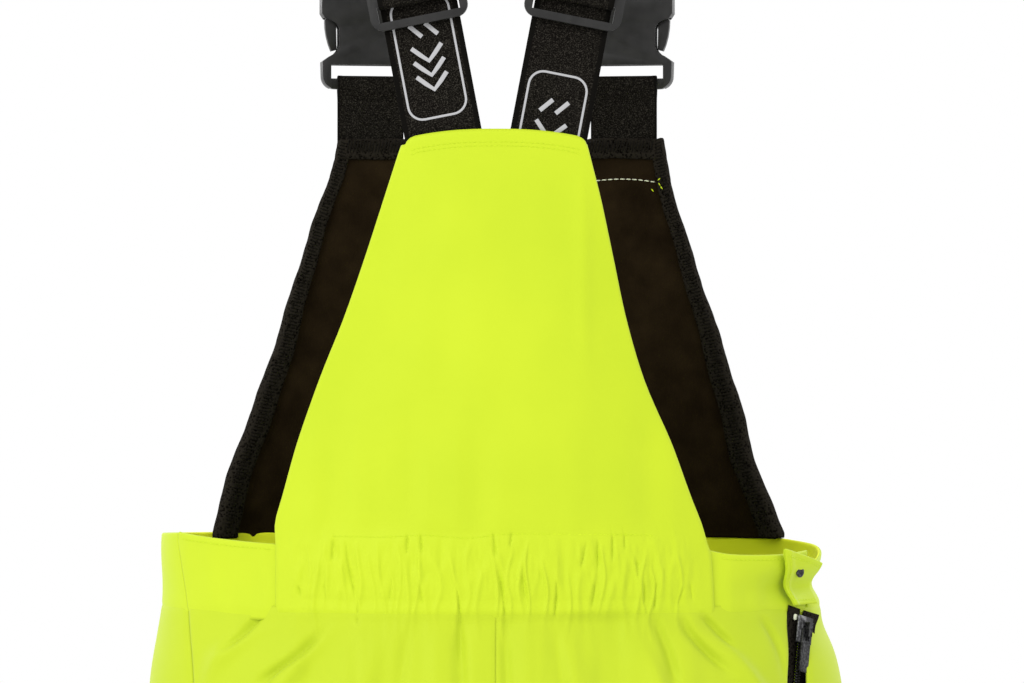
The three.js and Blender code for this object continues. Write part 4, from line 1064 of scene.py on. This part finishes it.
def tab_relief(x, z):
    """Relief of the tab: it rolls outwards along its free end and sags between end and root."""
    return 1.1 * np.exp(-(((1 - u) * -1 + 1 - 0.1) / 0.09) ** 2) * 1.0 - 1.0 * np.sin(math.pi * u) + 0.4 * rumple(x, z + 0 * x, 12, 97) + side_dent(x, z)


tab_high = 1055.5 - 10.5 * u
tab, tab_face = band_solid("waist_tab_band", "waist_tab", lambda z: half_outline(tab_share(z), z), tab_high, yellow, 2.0, tab_relief, 5.6, "waist_tab", 1019.2)


def face_lines(face, rows_at, columns_at=(), stand=0.12):
    """Seam lines along a band's outer face: level ones at shares of its height, upright ones at
    shares of its length."""
    lines = []
    along = np.gradient(face, axis=0)
    out = np.stack([along[..., 1], -along[..., 0], 0 * along[..., 0]], -1)
    out /= np.linalg.norm(out, axis=-1, keepdims=True)
    out *= np.sign((out * face).sum())
    for share in rows_at:
        k = int(round(share * (face.shape[1] - 1)))
        lines.append((face[2:-2, k] + out[2:-2, k] * stand, out[2:-2, k]))
    for share in columns_at:
        k = int(round(share * (face.shape[0] - 1)))
        lines.append((face[k, 1:-1] + out[k, 1:-1] * stand, out[k, 1:-1]))
    return lines


waist_lines = face_lines(left_face[14:], (0.95,)) + face_lines(right_face[14:], (0.95,))
stitches("waistband_thread", waist_lines, yellow_thread, 2.6, 0.6, 0.2)
stitches("waist_tab_thread", face_lines(tab_face, (0.1, 0.9), (0.08,)), yellow_thread, 2.4, 0.6, 0.2, "waist_tab")


def gunmetal():
    """Dark nickel plating: worn paler in patches, with fine pitting."""
    made, node, link, shader = open_material("dark_nickel", (0.03, 0.03, 0.032), 0.32, 0.5)
    shader.inputs["Metallic"].default_value = 0.75
    place = node("ShaderNodeTexCoord")
    pits = node("ShaderNodeTexNoise")
    pits.inputs["Scale"].default_value = 900
    pits.inputs["Detail"].default_value = 6
    link(place.outputs["Object"], pits.inputs["Vector"])
    bump = node("ShaderNodeBump")
    bump.inputs["Strength"].default_value = 0.25
    bump.inputs["Distance"].default_value = 0.0002
    link(pits.outputs["Fac"], bump.inputs["Height"])
    link(bump.outputs[0], shader.inputs["Normal"])
    worn = node("ShaderNodeTexNoise")
    worn.inputs["Scale"].default_value = 700
    worn.inputs["Detail"].default_value = 5
    link(place.outputs["Object"], worn.inputs["Vector"])
    tone = node("ShaderNodeValToRGB")
    tone.color_ramp.elements[0].position = 0.42
    tone.color_ramp.elements[0].color = (0.016, 0.016, 0.017, 1)
    tone.color_ramp.elements[1].position = 0.68
    tone.color_ramp.elements[1].color = (0.085, 0.085, 0.088, 1)
    link(worn.outputs["Fac"], tone.inputs["Fac"])
    link(tone.outputs["Color"], shader.inputs["Base Color"])
    return made


def turned(name, foot, axis, profile, finish, body, slot):
    """A round part: the (radius, height) profile turned about the axis through foot."""
    axis = np.asarray(axis, float) / np.linalg.norm(axis)
    first = np.cross(axis, [0, 0, 1.0])
    first /= np.linalg.norm(first)
    second = np.cross(axis, first)
    angle = np.arange(40) / 40 * 2 * math.pi
    round_by = np.cos(angle)[:, None] * first + np.sin(angle)[:, None] * second
    rings = [foot + axis * h + round_by * r for r, h in profile]
    points = np.concatenate(rings)
    faces = grid_faces(len(profile), 40, wrap=True)
    turned_faces = outward(points, faces)
    caps = [np.arange(40), np.arange(len(points) - 40, len(points))[::-1]]
    if turned_faces[0, 0] != faces[0, 0]:
        caps = [cap[::-1] for cap in caps]
    made = mesh_piece(name, points, turned_faces, None, finish, caps)
    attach(made, body)
    return made


nickel = gunmetal()
stud_axis = np.array([0.73003, -0.68341, 0])
stud_foot = np.array([189.906, -46.445, 1040.0]) - 3.6 * stud_axis
post = [(5.2, 0.2), (6.4, 0.35), (6.5, 0.9), (6.1, 1.3), (3.0, 1.45), (2.5, 2.2), (2.6, 3.1), (2.2, 3.5), (0.6, 3.6)]
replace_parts(turned("stud_post_part", stud_foot - 1.4 * stud_axis, stud_axis, post, nickel, "garment", "dark_metal"), "stud_post")
cap = [(0.6, 4.4), (3.3, 4.6), (3.6, 5.0), (3.6, 5.4), (3.4, 5.8), (2.9, 6.1), (2.5, 6.2), (2.2, 6.0), (1.2, 5.95), (0.5, 5.97)]
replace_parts(turned("stud_cap_part", stud_foot, stud_axis, cap, nickel, "waist_tab", "dark_metal"), "stud_cap")

# ---------------------------------------------------------------- braces
# Black elastic webbing with a coarse knitted face and smooth selvedges. Each brace is sewn inside
# the back bib, runs through its adjuster, over the shoulder, and round the bar of its buckle.
def elastic_webbing():
    """Black elastic webbing: rows of knitted ribs in relief, flecked where the pale core shows
    through the black cover."""
    made, node, link, shader = open_material("elastic_webbing", (0.006, 0.005, 0.004), 0.9, 0.03)
    place = node("ShaderNodeTexCoord")
    scaled = node("ShaderNodeMapping")
    scaled.inputs["Scale"].default_value = (900, 620, 1)
    link(place.outputs["UV"], scaled.inputs["Vector"])
    knit = node("ShaderNodeTexVoronoi")
    knit.inputs["Scale"].default_value = 1
    link(scaled.outputs[0], knit.inputs["Vector"])
    split = node("ShaderNodeSeparateXYZ")
    link(place.outputs["UV"], split.inputs[0])
    ribs = node("ShaderNodeMath")
    ribs.operation = "MULTIPLY"
    ribs.inputs[1].default_value = 2 * math.pi / 0.0016
    link(split.outputs["Y"], ribs.inputs[0])
    wave = node("ShaderNodeMath")
    wave.operation = "SINE"
    link(ribs.outputs[0], wave.inputs[0])
    mixed = node("ShaderNodeMath")
    mixed.operation = "MULTIPLY_ADD"
    mixed.inputs[1].default_value = 0.25
    link(wave.outputs[0], mixed.inputs[0])
    link(knit.outputs["Distance"], mixed.inputs[2])
    bump = node("ShaderNodeBump")
    bump.inputs["Strength"].default_value = 0.55
    bump.inputs["Distance"].default_value = 0.0005
    link(mixed.outputs[0], bump.inputs["Height"])
    link(bump.outputs[0], shader.inputs["Normal"])
    fleck = node("ShaderNodeTexNoise")
    fleck.inputs["Scale"].default_value = 1500
    fleck.inputs["Detail"].default_value = 2
    link(place.outputs["Object"], fleck.inputs["Vector"])
    tone = node("ShaderNodeValToRGB")
    tone.color_ramp.elements[0].position = 0.50
    tone.color_ramp.elements[0].color = (0.0034, 0.0029, 0.0022, 1)
    tone.color_ramp.elements[1].position = 0.72
    tone.color_ramp.elements[1].color = (0.040, 0.036, 0.029, 1)
    link(fleck.outputs["Fac"], tone.inputs["Fac"])
    edge = node("ShaderNodeMath")
    edge.operation = "ABSOLUTE"
    link(split.outputs["X"], edge.inputs[0])
    selvedge = node("ShaderNodeMath")
    selvedge.operation = "GREATER_THAN"
    selvedge.inputs[1].default_value = 0.0208
    link(edge.outputs[0], selvedge.inputs[0])
    blend = node("ShaderNodeMix")
    blend.data_type = "RGBA"
    link(selvedge.outputs[0], blend.inputs["Factor"])
    link(tone.outputs["Color"], blend.inputs[6])
    blend.inputs[7].default_value = (0.0042, 0.0038, 0.0031, 1)
    link(blend.outputs[2], shader.inputs["Base Color"])
    return made


webbing_finish = elastic_webbing()


def webbing(name, paths, across, width, thick, body, steps=70):
    """Straps along paths of a few points each, smoothed and squared to the across direction. The
    section is a flat bar with rounded, slightly thicker selvedges; its ends are closed."""
    half, rise = width / 2, thick / 2
    w = np.array([-0.25, -0.05, 0.0, 0.06, 0.3, 2.6, 3.4]) * 1.0
    flat = np.linspace(3.8, width - 3.8, 9)
    top_w = np.concatenate([w[2:] , flat, width - w[:1:-1]]) - half
    lip = np.array([0.35, 0.75, 1.12, 1.15, 0.92])
    top_h = np.concatenate([lip, np.full(len(flat), 0.94), lip[::-1]]) * rise
    section_w = np.concatenate([top_w, top_w[::-1]])
    section_h = np.concatenate([top_h, -top_h[::-1]])
    ring = len(section_w)
    points, faces, caps, uvs = [], [], [], []
    for path in paths:
        path = np.asarray(path, float)
        run = np.concatenate([[0], np.cumsum(np.linalg.norm(np.diff(path, axis=0), axis=1))])
        at = np.linspace(0, run[-1], steps)
        centre = np.stack([through(at, np.stack([run, path[:, k]], -1)) for k in range(3)], -1)
        ahead = np.gradient(centre, axis=0)
        ahead /= np.linalg.norm(ahead, axis=1, keepdims=True)
        wide = np.broadcast_to(np.asarray(across, float), (2, 3))
        wide = wide[0] * (1 - at / run[-1])[:, None] + wide[1] * (at / run[-1])[:, None]
        wide = wide - ahead * (wide * ahead).sum(1, keepdims=True)
        wide /= np.linalg.norm(wide, axis=1, keepdims=True)
        up = np.cross(wide, ahead)
        grid = centre[:, None] + wide[:, None] * section_w[None, :, None] + up[:, None] * section_h[None, :, None]
        grid = grid.reshape(-1, 3)
        base = sum(len(p) for p in points)
        plain = grid_faces(steps, ring, wrap=True)
        good = outward(grid, plain)
        ends = [np.arange(ring), np.arange((steps - 1) * ring, steps * ring)[::-1]]
        if good[0, 0] != plain[0, 0]:
            ends = [end[::-1] for end in ends]
        points.append(grid)
        faces.append(good + base)
        caps += [end + base for end in ends]
        uvs.append(np.stack(np.broadcast_arrays(section_w[None, :], at[:, None]), -1).reshape(-1, 2) * 0.001)
    made = mesh_piece(name, np.concatenate(points), np.concatenate(faces), np.concatenate(uvs), webbing_finish, caps)
    if body:
        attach(made, body)
    return made


run_axes = np.array([(0.97776, 0.09415, -0.18738), (-0.09585, 0.9954, 0), (0.18652, 0.01796, 0.98229)])
front_axes = np.array([(0.98481, -0.17365, 0), (0.17365, 0.98481, 0), (0, 0, 1.0)])


def on_run(side, *local):
    """Points in the brace's own axes (across, towards the wearer, up) as points of the garment."""
    return (np.array([33, -98.7, 1315]) + np.asarray(local, float) @ run_axes) * [side, 1, 1]


def on_front(side, *local):
    """Points in the front buckle's own axes (across, outwards, up) as points of the garment."""
    return (np.array([84, 94.2, 1352]) + np.asarray(local, float) @ front_axes) * [side, 1, 1]


def ribbon(paths, half, stand, out):
    """Flat raised ribbons along closed or open paths: points and faces of a low roof section."""
    points, faces = [], []
    for path, closed in paths:
        path = np.asarray(path, float)
        ahead = np.roll(path, -1, 0) - np.roll(path, 1, 0) if closed else np.gradient(path, axis=0)
        ahead /= np.linalg.norm(ahead, axis=1, keepdims=True)
        aside = np.cross(out, ahead)
        rows = [path + aside * w + out * h for w, h in ((-half, 0), (-half * 0.6, stand), (half * 0.6, stand), (half, 0))]
        grid = np.stack(rows, 1)
        if closed:
            grid = np.concatenate([grid, grid[:1]])
        base = sum(len(p) for p in points)
        faces.append(grid_faces(len(grid), 4) + base)
        points.append(grid.reshape(-1, 3))
    return np.concatenate(points), np.concatenate(faces)


def woven_mark(side, low, high, half):
    """A pale woven figure in the webbing's face: a rounded border, three chevrons and two bars."""
    radius = 9.0
    corner = np.linspace(0, math.pi / 2, 9)
    border = []
    for cx, cz, start in ((1, 1, 0), (-1, 1, 1), (-1, -1, 2), (1, -1, 3)):
        for a in corner + start * math.pi / 2:
            border.append((cx * (half - radius) + radius * math.cos(a), cz * ((high - low) / 2 - radius) + (high + low) / 2 + radius * math.sin(a)))
    lines = [(border, True)]
    middle = (low + high) / 2
    for rise in (-17, -8, 1):
        arm = np.array([(-9.5, rise + 6), (-4.7, rise + 1), (0, rise - 3.4), (4.7, rise + 1), (9.5, rise + 6)])
        lines.append((arm + [0, middle], False))
    for lean in (-5, 5):
        lines.append((np.array([(lean - 3.4, 13.0), (lean, 17.0), (lean + 3.4, 21.0)]) + [0, middle], False))
    placed = []
    for line, closed in lines:
        flat = np.array(line)
        placed.append((on_run(side, *np.stack([flat[:, 0], np.full(len(flat), -0.86), flat[:, 1]], -1)), closed))
    return placed


woven_thread = sewing_thread("pale_woven_thread", (0.36, 0.36, 0.37))
for side_name, side in (("left", -1), ("right", 1)):
    across = run_axes[0] * [side, 1, 1]
    back_run = webbing(f"brace_back_{side_name}", [on_run(side, (0, 0, -11), (0, 0, 40), (0, 0, 90), (0, 0, 141))], across, 48, 1.6, "garment")
    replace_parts(back_run, f"brace_back_run_{side_name}")
    out = -run_axes[1] * [side, 1, 1]
    low, high = (9, 84) if side < 0 else (-39, 35.5)
    thin = ribbon(woven_mark(side, low, high, 18.2)[:1], 0.7, 0.16, out)
    bold = ribbon(woven_mark(side, low, high, 18.2)[1:], 1.35, 0.16, out)
    points = np.concatenate([thin[0], bold[0]])
    faces = np.concatenate([thin[1], bold[1] + len(thin[0])])
    first = np.cross(points[faces[0, 1]] - points[faces[0, 0]], points[faces[0, 2]] - points[faces[0, 0]])
    mark = mesh_piece(f"woven_figure_{side_name}", points, faces if (first * out).sum() > 0 else faces[:, ::-1], None, woven_thread)
    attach(mark, "garment")
    loop = [(3.2, 55.6), (3.2, 34), (3.2, 14), (3.25, 5), (3.0, 0), (2.0, -3.2), (0, -4.2), (-2.0, -3.2), (-3.0, 0), (-2.7, 3.4), (-0.6, 6.4), (1.3, 9.5), (1.5, 16)]
    ply = webbing(f"brace_return_{side_name}", [on_run(side, *[(0, y - 5.2, z + 85) for y, z in loop])], across, 48, 1.5, None, steps=110)
    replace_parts(ply, f"brace_return_ply_{side_name}")
    start = on_run(side, (0, 0, 141.4))[0]
    end = on_front(side, (0, 0, 108))[0]
    t = np.linspace(0, 1, 30)[:, None]
    handles = start + run_axes[2] * [side, 1, 1] * 76, end + np.array([0, 0, 72])
    arc = (1 - t) ** 3 * start + 3 * (1 - t) ** 2 * t * handles[0] + 3 * (1 - t) * t * t * handles[1] + t**3 * end
    ahead = np.gradient(arc, axis=0)
    wide = across * (1 - t) + front_axes[0] * [side, 1, 1] * t
    lift = np.cross(wide, ahead)
    lift *= side / np.linalg.norm(lift, axis=1, keepdims=True) * np.sign(np.dot(np.cross(wide[0], ahead[0]), -run_axes[1] * [side, 1, 1])) * side
    plies = [arc, arc + lift * 1.95]
    shoulder = webbing(f"brace_shoulder_{side_name}", plies, [across, front_axes[0] * [side, 1, 1]], 48, 1.6, None, steps=90)
    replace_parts(shoulder, f"brace_shoulder_run_{side_name}")
    loop = [(0.95, 16.4), (1.3, 11), (3.6, 5.5), (4.4, 0), (3.2, -4.6), (0, -6.1), (-3.2, -4.6), (-4.4, 0), (-3.6, 5.5), (-1.3, 11), (-0.95, 16.4)]
    front_run = webbing(f"brace_front_{side_name}", [on_front(side, *[(0, y, z + 91.4) for y, z in loop])], front_axes[0] * [side, 1, 1], 48, 1.5, f"plug_{side_name}", steps=90)
    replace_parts(front_run, f"brace_front_run_{side_name}")
    loop = [(0.75, -55.4), (0.75, -30), (0.8, -11), (2.4, -5.6), (3.5, 0), (2.6, 3.8), (0, 4.9), (-2.6, 3.8), (-3.5, 0), (-2.4, -5.6), (-0.8, -11), (-0.75, -30), (-0.75, -55.4)]
    tab_webbing = webbing(f"buckle_webbing_{side_name}", [on_front(side, *[(0, y, z + 3.5) for y, z in loop])], front_axes[0] * [side, 1, 1], 44, 1.3, "garment", steps=110)
    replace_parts(tab_webbing, f"bib_webbing_{side_name}")
    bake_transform(ply)
    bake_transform(shoulder)

# ---------------------------------------------------------------- adjusters and side-release buckles
# Injection-moulded black acetal with rounded edges: a three-bar adjuster on each brace, and a
# socket, a plug and two sprung arms at the front.
def moulded_plastic(name, low, high):
    """Moulded acetal: a fine spark-eroded grain, a faint drift in gloss, and one in tone from low
    to high."""
    made, node, link, shader = open_material(name, high, 0.42, 0.34)
    place = node("ShaderNodeTexCoord")
    grain = node("ShaderNodeTexNoise")
    grain.inputs["Scale"].default_value = 1600
    grain.inputs["Detail"].default_value = 3
    link(place.outputs["Object"], grain.inputs["Vector"])
    bump = node("ShaderNodeBump")
    bump.inputs["Strength"].default_value = 0.18
    bump.inputs["Distance"].default_value = 0.0002
    link(grain.outputs["Fac"], bump.inputs["Height"])
    link(bump.outputs[0], shader.inputs["Normal"])
    rub = node("ShaderNodeTexNoise")
    rub.inputs["Scale"].default_value = 120
    rub.inputs["Detail"].default_value = 5
    link(place.outputs["Object"], rub.inputs["Vector"])
    gloss = node("ShaderNodeMapRange")
    gloss.inputs["To Min"].default_value = 0.34
    gloss.inputs["To Max"].default_value = 0.52
    link(rub.outputs["Fac"], gloss.inputs["Value"])
    link(gloss.outputs[0], shader.inputs["Roughness"])
    tone = node("ShaderNodeValToRGB")
    tone.color_ramp.elements[0].position = 0.35
    tone.color_ramp.elements[0].color = (*low, 1)
    tone.color_ramp.elements[1].position = 0.75
    tone.color_ramp.elements[1].color = (*high, 1)
    link(rub.outputs["Fac"], tone.inputs["Fac"])
    link(tone.outputs["Color"], shader.inputs["Base Color"])
    return made


def rounded_copy(name, node_name, finish, body, round_by):
    """The solid of a node with its edges rounded: doubles merged, flat faces joined, then every
    edge sharper than 32 degrees bevelled in three steps."""
    shape = bmesh.new()
    shape.from_mesh(bpy.data.objects[node_name].data)
    bmesh.ops.remove_doubles(shape, verts=shape.verts, dist=2e-5)
    bmesh.ops.join_triangles(shape, faces=shape.faces, angle_face_threshold=0.02, angle_shape_threshold=3.2)
    mesh = bpy.data.meshes.new(name)
    shape.to_mesh(mesh)
    shape.free()
    mesh.materials.clear()
    mesh.materials.append(finish)
    mesh.polygons.foreach_set("use_smooth", np.ones(len(mesh.polygons), bool))
    made = bpy.data.objects.new(name, mesh)
    bpy.context.scene.collection.objects.link(made)
    bevel = made.modifiers.new("rounding", "BEVEL")
    bevel.width = round_by * 0.001
    bevel.segments = 3
    bevel.angle_limit = math.radians(32)
    bevel.harden_normals = True
    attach(made, body)
    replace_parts(made, node_name)
    return made


acetal = moulded_plastic("black_acetal", (0.0065, 0.0062, 0.006), (0.014, 0.0135, 0.013))
for side_name in ("left", "right"):
    rounded_copy(f"adjuster_frame_{side_name}", f"adjuster_{side_name}", acetal, f"adjuster_{side_name}", 1.5)
    rounded_copy(f"socket_{side_name}", f"buckle_socket_{side_name}", acetal, "garment", 0.9)
    rounded_copy(f"plug_frame_{side_name}", f"buckle_plug_{side_name}", acetal, f"plug_{side_name}", 0.8)
    for place in ("outer", "inner"):
        rounded_copy(f"squeeze_arm_{place}_{side_name}", f"buckle_arm_{place}_{side_name}", acetal, f"arm_{place}_{side_name}", 0.9)

# ---------------------------------------------------------------- side zip
# A black coil zip in the right side seam: knitted tapes, interlocking elements, a cast slider with
# a plain pull, pale top stops and a square bottom stop.
zip_top = np.array([193.2, -40.6, 1014.0])
zip_axes = np.array([(-0.69846, -0.66936, 0.25319), (0.70729, -0.69956, 0.10173), (0.10903, 0.25013, 0.96205)])
ZIP_LONG = 155.9


def on_zip(local):
    """Points in the zip's axes (towards the back panel, outwards, up) as points of the garment."""
    return zip_top + np.asarray(local, float) @ zip_axes


element = np.array([(-1, -1), (1, -1), (1, 1), (-1, 1)])
for name, sign in (("back", 1), ("front", -1)):
    rows, columns = 90, 9
    down = np.linspace(2.0, -ZIP_LONG, rows)[:, None] * np.ones((1, columns))
    off = np.linspace(0.7, 12.4 if sign > 0 else 14.6, columns)[None, :] * np.ones((rows, 1))
    flare = fade(down, -7, 2)
    local = np.stack([sign * (off + (0.4 if sign > 0 else 1.6) * flare), -1.2 + 0.9 * flare * (off / 14), down], -1)
    grid = on_zip(local.reshape(-1, 3)).reshape(rows, columns, 3)
    tape = cloth(f"zip_tape_{name}", grid, (120, 0), bound_edge, 0.7)
    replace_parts(tape, f"side_zip_tape_{name}")
    at = np.arange(-3.2 - (0.9 if sign < 0 else 0), -ZIP_LONG + 2, -1.8)
    stations = ((0.55, 0.35, 0.75), (0.75, 0.55, 1.1), (1.3, 0.42, 1.0), (2.1, 0.45, 0.95), (2.45, 0.3, 0.7))
    rings = []
    for x, half_z, half_y in stations:
        square = np.stack([np.full(4, sign * x), 0.55 + element[:, 0] * half_y, element[:, 1] * half_z], -1)
        rings.append(square)
    one = np.concatenate(rings)
    local = one[None] + np.stack([0 * at, 0 * at, at], -1)[:, None]
    points = on_zip(local.reshape(-1, 3))
    shape = np.concatenate([grid_faces(len(stations), 4, wrap=True), [[0, 1, 2, 3], [19, 18, 17, 16]]])
    faces = (shape[None] + 20 * np.arange(len(at))[:, None, None]).reshape(-1, 4)
    teeth = mesh_piece(f"zip_elements_{name}", points, outward(points, faces), None, acetal)
    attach(teeth, "garment")
    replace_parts(teeth, f"side_zip_teeth_{name}")

# The two top stops are pillow shapes clamped on the tapes: each point of a grid of turns and tilts
# is pushed out towards a rounded box.
stop_finish = moulded_plastic("pale_stop", (0.55, 0.58, 0.42), (0.68, 0.70, 0.56))
turn = np.linspace(0, 2 * math.pi, 24, endpoint=False)[None, :]
tilt = np.linspace(-math.pi / 2, math.pi / 2, 14)[:, None][1:-1]
pillow = [np.sign(part) * np.abs(part) ** 0.45 for part in (np.cos(tilt) * np.cos(turn), np.cos(tilt) * np.sin(turn), np.sin(tilt) + 0 * turn)]
pillow = np.stack(pillow, -1).reshape(-1, 3) * [1.15, 0.8, 1.9]
ring = 24
ends = [list(range(ring))[::-1], list(range(len(pillow) - ring, len(pillow)))]
stops = []
for sign, name in ((1, "back"), (-1, "front")):
    points = on_zip(pillow + [sign * 6.6, 0.2, -4.4])
    stop = mesh_piece(f"zip_top_stop_{name}", points, outward(points, grid_faces(12, ring, wrap=True)), None, stop_finish, ends)
    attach(stop, "garment")
rounded_copy("zip_slider_body", "side_zip_slider", nickel, "zip_slider", 0.7)
rounded_copy("zip_pull_tab", "side_zip_pull", nickel, "zip_pull", 0.35)
rounded_copy("zip_bottom_stop", "side_zip_bottom_stop", nickel, "garment", 0.6)
